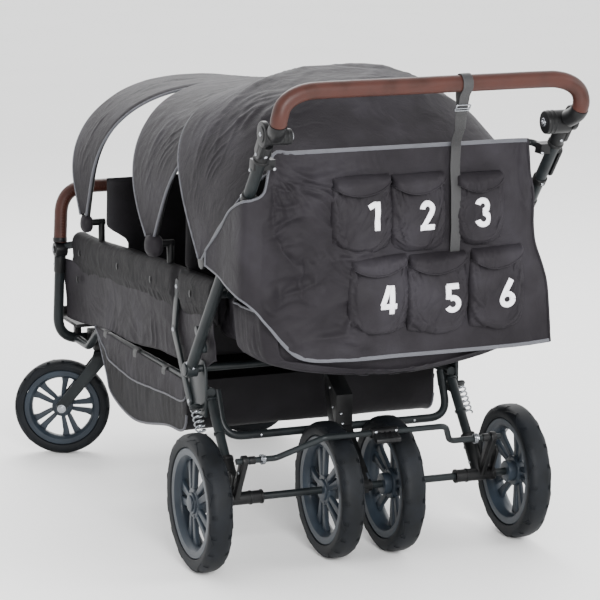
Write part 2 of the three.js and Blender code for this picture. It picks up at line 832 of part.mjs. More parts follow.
// Pivot shaft across the frame: both handle tubes turn on its ends
const shaftEnd = handleX + handleRadius + seatGap;
const shaft = join(
  rodX(-shaftEnd, shaftEnd, pivotY, pivotZ, pivotRadius),
  rodX(shaftEnd, shaftEnd + boltHeadHeight, pivotY, pivotZ, boltHeadRadius + 2 * boltHeadHeight),
  rodX(-shaftEnd - boltHeadHeight, -shaftEnd, pivotY, pivotZ, boltHeadRadius + 2 * boltHeadHeight),
);
add('pivot_shaft', shaft, 'steel');

// Rear cross tube: across between the legs, its ends bent up beside the rails
const crossEndX = railX - railRadius - seatGap - crossTubeRadius;
const crossCorners = [
  vec(crossEndX, railRearY - plateEyeRadius, railRearZ),
  vec(crossEndX, crossTubeY, crossTubeZ),
  vec(-crossEndX, crossTubeY, crossTubeZ),
  vec(-crossEndX, railRearY - plateEyeRadius, railRearZ),
];
const crossTube = (grow = 0) => tube(crossCorners, crossTubeRadius + grow, crossTubeBend);
add('rear_cross_tube', crossTube(), 'frame');

// Centre leg: a flat hollow-section post between the middle wheels, from the shaft to the axle
const centreOutline = new THREE.Shape([
  new THREE.Vector2(-centreLegDepth / 2, axleHeight - bracketSleeveRadius),
  new THREE.Vector2(centreLegDepth / 2, axleHeight - bracketSleeveRadius),
  new THREE.Vector2(centreLegDepth / 2, axleHeight + bracketSleeveRadius),
  new THREE.Vector2(crossTubeY + crossTubeRadius + centreLegDepth, crossTubeZ),
  new THREE.Vector2(pivotY + centreLegDepth / 2, pivotZ),
  new THREE.Vector2(pivotY, pivotZ + centreLegDepth / 2),
  new THREE.Vector2(pivotY - centreLegDepth / 2, pivotZ),
  new THREE.Vector2(crossTubeY - crossTubeRadius, crossTubeZ),
]);
const centreLeg = cut(
  sidePlate(centreOutline, -centreLegHalfWidth, centreLegHalfWidth),
  rodX(-2 * centreLegHalfWidth, 2 * centreLegHalfWidth, 0, axleHeight, axleRadius + seatGap),
  rodX(-2 * centreLegHalfWidth, 2 * centreLegHalfWidth, pivotY, pivotZ, pivotRadius + seatGap),
  crossTube(seatGap),
);
add('centre_leg', centreLeg, 'black');

// Brake bar: ends in the bracket arms, its middle raised behind the wheels
const brakeCorners = [
  vec(brakeEndX, brakeY, brakeZ),
  vec(brakeLeftKneeX, brakeY, brakeZ),
  vec(brakeLeftRiseX, brakeMidY, brakeMidZ),
  vec(brakeRightRiseX, brakeMidY, brakeMidZ),
  vec(brakeRightKneeX, brakeY, brakeZ),
  vec(-brakeEndX, brakeY, brakeZ),
];
const pedalX0 = pedalX - pedalWidth / 2;
const pedalX1 = pedalX + pedalWidth / 2;
const pedalBase = rodX(pedalX0, pedalX1, brakeMidY, brakeMidZ, pedalDepth / 2, pinSides);
const pedalTongue = sidePlate(
  barOutline([brakeMidY, brakeMidZ], [brakeMidY + pedalHeight, brakeMidZ - pedalHeight / 2], pedalDepth / 2),
  pedalX0,
  pedalX1,
);
add('brake_bar', join(tube(brakeCorners, brakeRadius, brakeBend, pinSides), pedalBase, pedalTongue), 'frame');

// Front frame: one bent tube, post, cross tube under the footrest, post
const frontCorners = [
  vec(postX, postTopY, postTopZ),
  vec(postX, postFootY, postFootZ),
  vec(-postX, postFootY, postFootZ),
  vec(-postX, postTopY, postTopZ),
];
const frontFrame = join(
  tube(frontCorners, postRadius, postBend),
  rodX(postX - knuckleWidth / 2, postX + knuckleWidth / 2, postTopY, postTopZ, knuckleRadius),
  rodX(-postX - knuckleWidth / 2, -postX + knuckleWidth / 2, postTopY, postTopZ, knuckleRadius),
);
add('front_frame', frontFrame, 'frame');

// Footrest: a moulded board resting on two feet, its front edge turned up
const footrestHalf = postX - postRadius - 2 * footrestThickness;
const footrestOutline = new THREE.Shape([
  new THREE.Vector2(footrestFrontY, footrestZ + footrestLip),
  new THREE.Vector2(footrestFrontY, footrestZ),
  new THREE.Vector2(footrestFrontY + footrestLip, footrestZ - footrestThickness),
  new THREE.Vector2(postFootY - footrestThickness, footrestZ - footrestThickness),
  new THREE.Vector2(postFootY - footrestThickness, postFootZ + postRadius + seatGap),
  new THREE.Vector2(postFootY + footrestThickness, postFootZ + postRadius + seatGap),
  new THREE.Vector2(postFootY + footrestThickness, footrestZ - footrestThickness),
  new THREE.Vector2(footrestRearY, footrestZ - footrestThickness),
  new THREE.Vector2(footrestRearY, footrestZ),
  new THREE.Vector2(footrestFrontY + footrestLip + footrestThickness / 2, footrestZ),
  new THREE.Vector2(footrestFrontY + footrestThickness, footrestZ + footrestThickness),
  new THREE.Vector2(footrestFrontY + footrestThickness, footrestZ + footrestLip),
]);
const frontTubeGap = tube(frontCorners, postRadius + seatGap, postBend);
add('footrest', cut(sidePlate(footrestOutline, -footrestHalf, footrestHalf), frontTubeGap), 'black');

// Swivel housings, forks and front wheels
const housingBottom = crownBottom + crownHeight + housingSeat;
function swivelHousing() {
  const neck = barOutline([0, 0], [0, postFootY - swivelY], 2 * housingRadius, wideBendSteps);
  const block = new THREE.ExtrudeGeometry(neck, { depth: housingHeight, bevelEnabled: false })
    .translate(swivelX, swivelY, housingBottom);
  const bore = rod(
    vec(swivelX, swivelY, housingBottom - cutOverrun),
    vec(swivelX, swivelY, housingBottom + stemLength + seatGap),
    turningHole(stemRadius),
  );
  return cut(block, bore, frontTubeGap, railTube(seatGap), footrestFootSlot());
}

function footrestFootSlot() {
  const slot = sidePlate(barOutline(
    [postFootY, postFootZ + postRadius],
    [postFootY, footrestZ + footrestLip],
    2 * (footrestThickness + seatGap),
  ), -footrestHalf - seatGap, footrestHalf + seatGap);
  return slot;
}
addPair('swivel_housing', swivelHousing(), 'black');

const armInner = frontTyreWidth / 2 + forkGapToTyre;
function forkShape() {
  const arm = new THREE.Shape([
    new THREE.Vector2(crownRadius, crownBottom + crownHeight),
    new THREE.Vector2(-crownRadius, crownBottom + crownHeight),
    new THREE.Vector2(-crownRadius, crownBottom),
    new THREE.Vector2(casterTrail - forkArmWidth / 2, frontWheelRadius),
    new THREE.Vector2(casterTrail - forkArmWidth / 3, frontWheelRadius - forkArmWidth / 3),
    new THREE.Vector2(casterTrail, frontWheelRadius - forkArmWidth / 2),
    new THREE.Vector2(casterTrail + forkArmWidth / 3, frontWheelRadius - forkArmWidth / 3),
    new THREE.Vector2(casterTrail + forkArmWidth / 2, frontWheelRadius),
    new THREE.Vector2(crownRadius + forkArmWidth / 4, crownBottom - forkArmWidth / 4),
  ]);
  const crown = new THREE.BoxGeometry(2 * (armInner + forkArmThickness), 2 * crownRadius, crownHeight)
    .translate(0, 0, crownBottom + crownHeight / 2);
  const armOuter = armInner + forkArmThickness;
  const boltEnd = armOuter + forkArmThickness;
  return join(
    sidePlate(arm, armInner, armOuter),
    sidePlate(arm, -armOuter, -armInner),
    crown,
    rod(vec(0, 0, crownBottom + crownHeight / 2), vec(0, 0, housingBottom + stemLength), stemRadius),
    rodX(-boltEnd, boltEnd, casterTrail, frontWheelRadius, frontAxleRadius),
    rodX(armOuter, boltEnd, casterTrail, frontWheelRadius, boltHeadRadius),
    rodX(-boltEnd, -armOuter, casterTrail, frontWheelRadius, boltHeadRadius),
  );
}

const fork = forkShape();
const frontRim = rimShape(frontRimRadius, frontTyreWidth, turningHole(frontAxleRadius), false);
const frontTyre = tyreShape(frontWheelRadius, frontRimRadius, frontTyreWidth);

function caster(name, x, turn) {
  const swivel = new THREE.Group();
  swivel.position.set(x, swivelY, 0);
  swivel.rotation.z = -rad(turn);
  pieces.add(swivel);
  add(`caster_fork_${name}`, fork, 'frame', swivel);
  const wheel = new THREE.Group();
  wheel.position.set(0, casterTrail, frontWheelRadius);
  swivel.add(wheel);
  add(`rim_front_${name}`, frontRim, 'rim', wheel);
  add(`tyre_front_${name}`, frontTyre, 'tyre', wheel);
}

caster('left', swivelX, leftCasterTurn);
caster('right', -swivelX, rightCasterTurn);

// Bumper bar: a padded bow between the knuckles
const bumperFoot = postTopZ + knuckleRadius + seatGap;
const bumperCorners = [
  vec(postX, postTopY, bumperFoot),
  vec(postX, bumperTopY, bumperTopZ),
  vec(-postX, bumperTopY, bumperTopZ),
  vec(-postX, postTopY, bumperFoot),
];
add('bumper_bar', tube(bumperCorners, bumperRadius, bumperBend, tubeSides, wideBendSteps), 'leather');

const discInner = (halfWidth) => halfWidth - bowRadius;
const discOuter = (halfWidth) => discInner(halfWidth) + bowDiscThickness;

// Side rails: from the knuckle along the seats to a stop pin beside the handle tube
const sideRailCorners = [
  vec(postX - postRadius / 2, postTopY, postTopZ + postRadius / 2),
  vec(sideRailX, sideRailFrontY, sideRailFrontZ),
  vec(sideRailX, sideRailMidY, sideRailMidZ),
  vec(sideRailX, sideRailRearY, sideRailRearZ),
];
// Height of a point on the side rail's centre line
function sideRailHeight(y) {
  const [, front, middle, rear] = sideRailCorners;
  const [from, to] = y < middle.y ? [front, middle] : [middle, rear];
  return from.z + (to.z - from.z) * (y - from.y) / (to.y - from.y);
}

const sideRailTube = (grow = 0) => tube(sideRailCorners, sideRailRadius + grow, postBend, pinSides);
const besideHandle = handleX - handleRadius - seatGap;
const stopPin = rodX(sideRailX, besideHandle, sideRailRearY - sideRailRadius, sideRailRearZ, stopPinRadius);
const frontFrameGap = join(
  frontTubeGap,
  rodX(postX - knuckleWidth / 2 - seatGap, postX + knuckleWidth / 2, postTopY, postTopZ, knuckleRadius + seatGap),
);
const hoodPinEnd = (hood) => discInner(hood.bows[0].halfWidth) - seatGap;
const rearPost = vec(sideRailX, hoods.rear.pivotY, hoods.rear.pivotZ);
const sideRail = cut(
  join(
    sideRailTube(),
    stopPin,
    rod(rearPost.clone().setZ(sideRailHeight(rearPost.y)), rearPost, hoodPostRadius, pinSides),
    rodX(sideRailX - hoodPostRadius, besideHandle, rearPost.y, rearPost.z, hoodPostRadius, pinSides),
  ),
  frontFrameGap,
);
addPair('side_rail', sideRail, 'frame');

// Strut from the side rail down to the side plate, and the fold link beside it
const strutX0 = plateX1 + seatGap;
const strutX1 = strutX0 + strutThickness;
const strutTopZ = sideRailHeight(strutTopY);
const strutHead = (y, z) => rodX(strutX0, strutX1 + boltHeadHeight, y, z, boltHeadRadius, pinSides);
const strut = cut(
  join(
    sidePlate(barOutline([strutTopY, strutTopZ], [strutKneeY, strutKneeZ], strutWidth), strutX0, strutX1),
    sidePlate(barOutline([strutKneeY, strutKneeZ], [strutFootY, strutFootZ], strutWidth), strutX0, strutX1),
    strutHead(strutKneeY, strutKneeZ),
    strutHead(strutFootY, strutFootZ),
  ),
  sideRailTube(seatGap),
);
addPair('side_strut', strut, 'frame');

const linkOutline = barOutline([linkFootY, linkFootZ], [linkTopY, linkTopZ], linkWidth);
addPair('fold_link', sidePlate(linkOutline, strutX0, strutX0 + linkThickness), 'frame');

// Handle tubes: straight from the fold pivot to the ratchet, with the tab that the link locks
const handleFoot = vec(handleX, pivotY, pivotZ);
const handleTop = vec(handleX, hubY, hubZ);
const handleAxis = handleTop.clone().sub(handleFoot).normalize();
const handleForward = vec(0, -handleAxis.z, handleAxis.y);
const handleLength = handleTop.distanceTo(handleFoot);
const onHandle = (distance, forward = 0, x = handleX) => handleFoot.clone()
  .addScaledVector(handleAxis, distance).addScaledVector(handleForward, forward).setX(x);
const tabX0 = strutX0 + linkThickness + seatGap;
const tabRoot = onHandle(handleEyeRadius * 4);
const tab = sidePlate(
  barOutline([tabRoot.y, tabRoot.z], [linkTopY, linkTopZ], linkWidth),
  tabX0,
  tabX0 + tabThickness + handleRadius / 2,
);
const handleTubeEnd = handleLength - ratchetSleeveLength;
const handleTube = cut(
  join(
    rod(onHandle(0), onHandle(handleTubeEnd - seatGap), handleRadius),
    rodX(handleX - handleRadius, handleX + handleRadius, pivotY, pivotZ, handleEyeRadius),
    rod(onHandle(collarAt), onHandle(collarAt + handleCollarLength), handleCollarRadius),
    tab,
  ),
  rodX(besideHandle - cutOverrun, handleX + handleRadius + cutOverrun, pivotY, pivotZ, turningHole(pivotRadius)),
);
addPair('handle_tube', handleTube, 'frame');

// Ratchet housings on the tubes' upper ends
const knuckleOuterX = ratchetOuterX - ratchetFace;
const ratchet = cut(
  join(
    rodX(knuckleOuterX + seatGap, ratchetOuterX, hubY, hubZ, ratchetRadius, ratchetSides),
    rod(onHandle(handleTubeEnd), onHandle(handleLength - ratchetRadius), handleCollarRadius),
    sidePlate(
      barOutline(
        [onHandle(handleLength - ratchetRadius).y, onHandle(handleLength - ratchetRadius).z],
        [hubY, hubZ],
        2 * handleCollarRadius,
      ),
      knuckleOuterX + seatGap,
      ratchetOuterX - ratchetStep,
    ),
  ),
  rodX(ratchetInnerX, knuckleOuterX + seatGap, hubY, hubZ, turningHole(barKnuckleRadius, ratchetSides), ratchetSides),
);
addPair('ratchet', ratchet, 'black');

// Cross tube behind the top hem of the rear panel
const handleCrossEnd = handleX - handleRadius + 2 * seatGap;
const crossSeat = onHandle(handleLength - ratchetSleeveLength - handleCollarLength);
const handleCross = cut(
  tube(
    [
      vec(handleCrossEnd, crossSeat.y, crossSeat.z),
      vec(handleCrossEnd - handleCrossSetback, handleCrossY, handleCrossZ),
      vec(-handleCrossEnd + handleCrossSetback, handleCrossY, handleCrossZ),
      vec(-handleCrossEnd, crossSeat.y, crossSeat.z),
    ],
    handleCrossRadius,
    handleCrossSetback,
    pinSides,
  ),
  rod(onHandle(0), onHandle(handleLength), handleRadius + seatGap),
  mirrored(rod(onHandle(0), onHandle(handleLength), handleRadius + seatGap)),
);
add('handle_cross_tube', handleCross, 'frame');

// Fold release lever on the outside of the right handle tube
const leverX0 = handleX + handleRadius + seatGap;
const leverTip = onHandle(leverPivotAt - leverLength);
const leverEye = onHandle(leverPivotAt);
const lever = sidePlate(
  barOutline([leverEye.y, leverEye.z], [leverTip.y, leverTip.z], leverWidth),
  leverX0,
  leverX0 + leverThickness,
);
add('fold_release_lever', mirrored(lever), 'black');

// Handlebar core with its two ratchet knuckles, and the stitched grip over it
const barCorners = [
  vec(barFootX, hubY, hubZ),
  vec(barEndX, barEndY, barEndZ),
  vec(barEndX, barTopY, barTopZ),
  vec(-barEndX, barTopY, barTopZ),
  vec(-barEndX, barEndY, barEndZ),
  vec(-barFootX, hubY, hubZ),
];
const barPath = bentPath(barCorners, barBend, barBendSteps);
const knuckle = rodX(ratchetInnerX, knuckleOuterX, hubY, hubZ, barKnuckleRadius, ratchetSides);
add('handlebar_core', join(sweep(circle(barCoreRadius, pinSides), barPath), knuckle, mirrored(knuckle)), 'black');

const gripFoot = barCorners[0].clone().lerp(barCorners[1], gripStart / barCorners[0].distanceTo(barCorners[1]));
const gripCorners = [gripFoot, ...barCorners.slice(1, -1), vec(-gripFoot.x, gripFoot.y, gripFoot.z)];
const gripSection = circle(gripRadius);
gripSection.holes.push(new THREE.Path(circle(barCoreRadius + seatGap, pinSides).getPoints()));
add('handlebar_grip', sweep(gripSection, bentPath(gripCorners, barBend, barBendSteps)), 'leather');

// Hoods: bows of bent wire and the cloth over them
function bowProfile(bow, grow, foot) {
  const points = [];
  const rise = bow.height - bow.leg;
  points.push([bow.halfWidth + grow, foot]);
  for (let k = 0; k <= hoodArcSteps; k += 1) {
    const turn = Math.PI * k / hoodArcSteps;
    const across = Math.sign(Math.cos(turn)) * Math.abs(Math.cos(turn)) ** bow.roundness;
    const up = Math.sin(turn) ** bow.roundness;
    const centred = Math.abs(across) < 1e-9 ? 0 : across;
    points.push([(bow.halfWidth + grow) * centred, bow.leg + (rise + grow) * up]);
  }
  points.push([-bow.halfWidth - grow, foot]);
  return points;
}

function leaning(hood, [x, r], bow) {
  const side = Math.min(Math.abs(x) / bow.halfWidth, 1) ** sideLeanPower;
  const lean = rad(bow.lean + ((bow.sideLean ?? bow.lean) - bow.lean) * side);
  return vec(x, hood.pivotY - r * Math.sin(lean), hood.pivotZ + r * Math.cos(lean));
}

function bowWire(hood, bow, foot) {
  const points = bowProfile(bow, 0, foot).map((place) => leaning(hood, place, bow));
  const stations = points.map((point, i) => {
    const before = points[Math.max(i - 1, 0)];
    const after = points[Math.min(i + 1, points.length - 1)];
    return { point, tangent: after.clone().sub(before).normalize() };
  });
  return sweep(circle(bowRadius, wireSides), new BentPath(stations));
}

function chordShare(angle, from, to) {
  const half = (to - from) / 2;
  const off = angle - (from + to) / 2;
  return Math.cos(rad(half)) / Math.cos(rad(off));
}

function clothSections(hood, between) {
  const sections = [];
  const bows = hood.bows;
  for (let b = 0; b < bows.length - 1; b += 1) {
    for (let k = 0; k < between; k += 1) {
      const share = k / between;
      const mix = (key) => bows[b][key] + (bows[b + 1][key] - bows[b][key]) * share;
      const lean = mix('lean');
      const taut = chordShare(lean, bows[b].lean, bows[b + 1].lean);
      const [height, leg] = [mix('height') * taut, mix('leg') * taut];
      sections.push({ lean, halfWidth: mix('halfWidth'), height, roundness: mix('roundness'), leg });
    }
  }
  sections.push(bows.at(-1));
  const [first, last] = [bows[0], bows.at(-1)];
  const hemLean = { lean: last.lean - hoodClothOverhang, sideLean: last.sideLean && last.sideLean - hoodClothOverhang };
  return [{ ...first, lean: first.lean + hoodClothOverhang }, ...sections, { ...last, ...hemLean }];
}

function hoodCloth(hood, between) {
  const halfSpans = hood.bows.slice(1).map((bow, i) => (hood.bows[i].lean - bow.lean) / 2);
  const inside = (bowRadius + seatGap) / Math.cos(rad(Math.max(...halfSpans)));
  const outside = inside + hoodClothThickness;
  const grid = (grow) => clothSections(hood, between)
    .map((bow) => bowProfile(bow, grow, hoodFoot).map((place) => leaning(hood, place, bow)));
  return shell(grid(outside), grid(inside));
}

// The clip that holds a hood: a ring on the side rail, a post and the pivot pin
function hoodClip(hood, pinEnd) {
  const railZ = sideRailHeight(hood.pivotY);
  const from = vec(sideRailX, hood.pivotY - hoodClipLength / 2, sideRailHeight(hood.pivotY - hoodClipLength / 2));
  const to = vec(sideRailX, hood.pivotY + hoodClipLength / 2, sideRailHeight(hood.pivotY + hoodClipLength / 2));
  const clip = join(
    rod(from, to, sideRailRadius + seatGap + hoodClipWall, pinSides),
    rod(
      vec(sideRailX, hood.pivotY, railZ + sideRailRadius),
      vec(sideRailX, hood.pivotY, hood.pivotZ),
      hoodPostRadius,
      pinSides,
    ),
    rodX(sideRailX - hoodPostRadius, pinEnd, hood.pivotY, hood.pivotZ, hoodPostRadius, pinSides),
  );
  return cut(clip, sideRailTube(seatGap));
}

function movingBow(hood, bow) {
  const x1 = discOuter(bow.halfWidth);
  const disc = rodX(discInner(bow.halfWidth), x1, hood.pivotY, hood.pivotZ, bowDiscRadius, discSides);
  return join(bowWire(hood, bow, bowWireFoot), disc, mirrored(disc));
}

function fixedBow(hood, bow, faceX) {
  const disc = rodX(faceX - bowDiscThickness, faceX, hood.pivotY, hood.pivotZ, bowDiscRadius, discSides);
  const clip = hoodClip(hood, faceX);
  return join(bowWire(hood, { ...bow, halfWidth: faceX - bowRadius }, 0), disc, mirrored(disc), clip, mirrored(clip));
}

for (const name of ['front', 'middle']) {
  const hood = hoods[name];
  const [front, rear] = hood.bows;
  const face = hoodPinEnd(hood);
  add(`${name}_hood_bow`, movingBow(hood, front), 'black');
  add(`${name}_hood_rear_bow`, fixedBow(hood, rear, face), 'black');
  add(`${name}_hood`, hoodCloth(hood, 3), 'cloth');
}

const rearBowBoss = rodX(
  handleX - handleRadius,
  discOuter(hoods.rear.bows[0].halfWidth),
  hoods.rear.pivotY,
  hoods.rear.pivotZ,
  hoodPostRadius,
  pinSides,
);
const rearBow = join(movingBow(hoods.rear, hoods.rear.bows[0]), rearBowBoss, mirrored(rearBowBoss));
add('rear_hood_bow', rearBow, 'black');
add('rear_hood', hoodCloth(hoods.rear, 2), 'cloth');

// Side walls: a padded roll round the rail with the cloth skirt below it
const wallPlaces = [wallFrontY, sideRailMidY, wallRearY];
function sideWall() {
  const skirtTurn = Math.asin(wallThickness / 2 / wallRollRadius);
  const startTurn = -Math.PI / 2 + skirtTurn;
  const points = [-1, 1].map((side) => new THREE.Vector2(side * wallThickness / 2, -wallDrop));
  for (let k = 0; k <= wallArcSteps; k += 1) {
    const turn = startTurn + 2 * (Math.PI - skirtTurn) * k / wallArcSteps;
    points.push(new THREE.Vector2(wallRollRadius * Math.cos(turn), wallRollRadius * Math.sin(turn)));
  }
  const section = new THREE.Shape(points);
  section.holes.push(new THREE.Path(circle(turningHole(sideRailRadius, pinSides), pinSides).getPoints()));
  const slope = vec(0, wallRearY - wallFrontY, sideRailHeight(wallRearY) - sideRailHeight(wallFrontY)).normalize();
  const stations = wallPlaces.map((y) => ({ point: vec(sideRailX, y, sideRailHeight(y)), tangent: slope }));
  return sweep(section, new BentPath(stations));
}

function clipSlots(hood) {
  const ends = [-1, 1].map((side) => {
    const y = hood.pivotY + side * (hoodClipLength / 2 + seatGap);
    return vec(sideRailX, y, sideRailHeight(y));
  });
  const railZ = sideRailHeight(hood.pivotY);
  const postTop = vec(sideRailX, hood.pivotY, railZ + 2 * wallRollRadius);
  return [
    rod(...ends, turningHole(sideRailRadius + hoodClipWall, pinSides), pinSides),
    rod(vec(sideRailX, hood.pivotY, railZ), postTop, hoodPostRadius + seatGap, pinSides),
  ];
}

const strutSlot = sidePlate(
  barOutline([strutTopY, strutTopZ], [strutKneeY, strutKneeZ], strutWidth + 2 * seatGap),
  strutX0 - seatGap,
  strutX0 + strutThickness + seatGap,
);
addPair('side_wall', cut(sideWall(), ...clipSlots(hoods.front), ...clipSlots(hoods.middle), strutSlot), 'cloth');

// A double seat: two padded places with a channel between them
const seatColumns = [-1, -0.94, -0.5, -0.06, 0.06, 0.5, 0.94, 1];
const seatSwell = [0, 0.6, 1, 0, 0, 1, 0.6, 0];
function doubleSeat(creaseY) {
  const front = creaseY - seatDepth;
  const top = seatBaseZ + seatThickness;
  const backTop = seatBaseZ + seatBackHeight;
  const back = (share) => [creaseY + seatBackLean * share, seatBaseZ + seatBackHeight * share];
  const behind = (share) => [back(share)[0] + seatBackThickness, back(share)[1]];
  const upper = [
    [front, seatBaseZ + seatThickness / 4, 0],
    [front + seatThickness / 2, top, 0.5],
    [creaseY - seatDepth / 2, top, 1],
    [creaseY - seatThickness, top, 0.6],
    [...back(0.3), 0.9],
    [...back(0.6), 1],
    [...back(0.93), 0.6],
    [creaseY + seatBackLean + seatBackThickness / 3, backTop, 0],
  ];
  const lower = [
    [front + seatThickness / 4, seatBaseZ],
    [front + seatThickness, seatBaseZ],
    [creaseY - seatDepth / 2, seatBaseZ],
    [creaseY, seatBaseZ],
    behind(0.3),
    behind(0.6),
    behind(0.93),
    [behind(1)[0], backTop - seatBackThickness / 4],
  ];
  const outer = upper.map(([y, z, swell], i) => {
    const before = upper[Math.max(i - 1, 0)];
    const after = upper[Math.min(i + 1, upper.length - 1)];
    const along = new THREE.Vector2(after[0] - before[0], after[1] - before[1]).normalize();
    return seatColumns.map((share, j) => {
      const lift = seatCrown * swell * seatSwell[j];
      return vec(seatHalfWidth * share, y - along.y * lift, z + along.x * lift);
    });
  });
  const inner = lower.map(([y, z]) => seatColumns.map((share) => vec(seatHalfWidth * share, y, z)));
  return shell(outer, inner);
}
add('front_seat', doubleSeat(frontSeatY), 'cloth');
add('middle_seat', doubleSeat(middleSeatY), 'cloth');

// Rear tub: the slung floor and the sides of the last row
const tubShares = [-1, -0.985, -0.93, -0.7, 0, 0.7, 0.93, 0.985, 1];
const tubRise = [1, 0.42, 0.16, 0.04, 0, 0.04, 0.16, 0.42, 1];
const besideWall = sideRailX - wallRollRadius - seatGap;
const besideRail = sideRailX - sideRailRadius - 2 * seatGap;
const tubRows = [
  { y: tubFrontY, half: besideWall, sag: -0.1, top: tubFrontTopZ },
  { y: wallRearY, half: besideWall, sag: 0, top: tubSideTopZ },
  { y: sideRailRearY, half: besideRail, sag: 0.4, top: tubSideTopZ },
  { y: tubWideY, half: tubHalfWidth, sag: 0.8, top: tubSideTopZ },
  { y: tubLowY, half: tubHalfWidth, sag: 1, top: tubSideTopZ },
  { y: tubCornerY, half: tubHalfWidth * 0.97, sag: 0.1, top: tubSideTopZ },
  { y: tubRearY, half: tubHalfWidth * 0.88, sag: -1.6, top: tubSideTopZ },
];
function rearTub() {
  const grid = (inside) => tubRows.map(({ y, half, sag, top }) => tubShares.map((share, j) => {
    const low = tubFloorZ - tubSag * sag + (inside ? tubFloorThickness : 0);
    return vec(share * (half - (inside ? tubWall : 0)), y, low + (top - low) * tubRise[j]);
  }));
  return shell(grid(false), grid(true));
}
add('rear_tub', rearTub(), 'cloth');

// Basket hung on the lower rails, open at the top
const basketHalfWidth = railX + railRadius + seatGap + basketWall;
function basketShape() {
  const corners = basketShares.map(([along, up]) => [
    basketFrontY + (basketRearY - basketFrontY) * along,
    basketLowZ + (basketTopZ - basketLowZ) * up,
  ]);
  const outer = corners.map(([y, z]) => new THREE.Vector2(y, z));
  const middle = (basketFrontY + basketRearY) / 2;
  const inner = corners.map(([y, z], i) => {
    const end = i === 0 || i === corners.length - 1;
    const inY = y + Math.sign(middle - y) * basketWall;
    return new THREE.Vector2(inY, end ? basketTopZ + cutOverrun : z + basketWall);
  });
  return cut(
    sidePlate(new THREE.Shape(outer), -basketHalfWidth, basketHalfWidth),
    sidePlate(new THREE.Shape(inner), -basketHalfWidth + basketWall, basketHalfWidth - basketWall),
    railTube(seatGap),
    mirrored(railTube(seatGap)),
  );
}
add('basket', basketShape(), 'cloth');

// Rear panel: the sheet with its left wing round the handle tube, and six pockets on it
const panelSteps = 6;
const panelPlace = ([x, y, z]) => vec(panelWingX * x, panelY - panelWingReach * y, panelHemZ + panelHeight * z);

// How far a crease lifts the cloth at one place: waves round the corner that fade along their way
function panelFold({ x, z }) {
  const away = Math.hypot(foldCornerX - x, foldCornerZ - z);
  const turn = Math.atan2(foldCornerZ - z, foldCornerX - x);
  const fade = Math.sin(Math.PI * Math.min(away / foldReach, 1));
  return foldDepth * fade * Math.cos(foldTurns * turn + rad(foldPhase));
}

function panelPoint(column, share) {
  const points = [column.top, ...(column.mids ?? []), column.hem].map(panelPlace);
  const curved = points.length > 2;
  const place = curved ? new THREE.CatmullRomCurve3(points).getPoint(share) : points[0].lerp(points[1], share);
  const out = (column.swell ?? 0) * panelBulge + (column.fold ?? 0) * panelFold(place);
  place.y += out * Math.sin(Math.PI * share);
  return place;
}

function panelSheet() {
  const face = (side) => {
    const rows = [];
    for (let i = 0; i <= panelSteps; i += 1) {
      rows.push(panelShares.map((column) => {
        const [nx, ny] = column.out;
        const place = panelPoint(column, i / panelSteps);
        return place.add(vec(nx, ny, 0).multiplyScalar(side * panelThickness / 2));
      }));
    }
    return rows;
  };
  return shell(face(1), face(-1));
}

function pocket(x, z, height) {
  const shares = [0, 0.16, 0.84, 1];
  const outs = [0, 1, 1, 0];
  const back = panelY - panelThickness;
  const grid = (swell) => shares.map((up, i) => shares.map((across, j) => vec(
    x + pocketWidth * (across - 0.5),
    back + swell * (pocketLip + pocketDepth * outs[i] * outs[j]),
    z + height * (0.5 - up),
  )));
  return shell(grid(1), grid(0));
}

const pockets = pocketRowShares.flatMap(({ up, tall, across }) => across.map(
  (share) => pocket(panelWingX * share, panelHemZ + panelHeight * up, panelHeight * tall),
));
add('rear_panel', join(panelSheet(), ...pockets), 'cloth');

// Strap: once round the handlebar grip and down over the panel between the pockets
const strapTurnStep = 55;      // degrees between the strap's stations round the grip
const strapLoop = (gripRadius + 2 * seatGap) / Math.cos(rad(strapTurnStep / 2)) + strapThickness / 2;
function strapPath() {
  const round = (turn) => vec(
    strapTopX,
    barTopY + strapLoop * Math.cos(rad(turn)),
    barTopZ + strapLoop * Math.sin(rad(turn)),
  );
  return [
    vec(strapTopX, barTopY - strapLoop * 1.15, barTopZ - strapLoop * 2),
    ...[4, 3, 2, 1, 0].map((step) => round(strapTurnStep * (step - 0.4))),
    ...strapPoints.map((p) => vec(...p)),
  ];
}

function strapShape() {
  const path = strapPath();
  const half = strapWidth / 2;
  const grid = (side) => path.map((point, i) => {
    const along = path[Math.min(i + 1, path.length - 1)].clone().sub(path[Math.max(i - 1, 0)]).normalize();
    const out = vec(1, 0, 0).cross(along).normalize().multiplyScalar(side * strapThickness / 2);
    return [-half, half].map((across) => point.clone().add(out).add(vec(across, 0, 0)));
  });
  return shell(grid(1), grid(-1));
}
add('strap', strapShape(), 'webbing');

// The finished group stands on the centre of its own footprint
stroller.updateMatrixWorld(true);
const footprint = new THREE.Box3().setFromObject(stroller, true);
const centre = footprint.getCenter(new THREE.Vector3());
pieces.position.set(-centre.x, -centre.y, -footprint.min.z);
stroller.updateMatrixWorld(true);

export default stroller;
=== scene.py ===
"""A long folding pushchair with three rows of seats, three hoods and a slung basket.

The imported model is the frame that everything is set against. All places are typed in
millimetres from the middle of the rear axle, and at() turns them into the model's metres.
"""
from math import atan2, copysign, cos, exp, hypot, pi, radians, sin, sqrt, tan

import bmesh
import bpy
from bpy.props import FloatProperty, FloatVectorProperty, IntProperty, PointerProperty
from mathutils import Matrix, Vector, noise


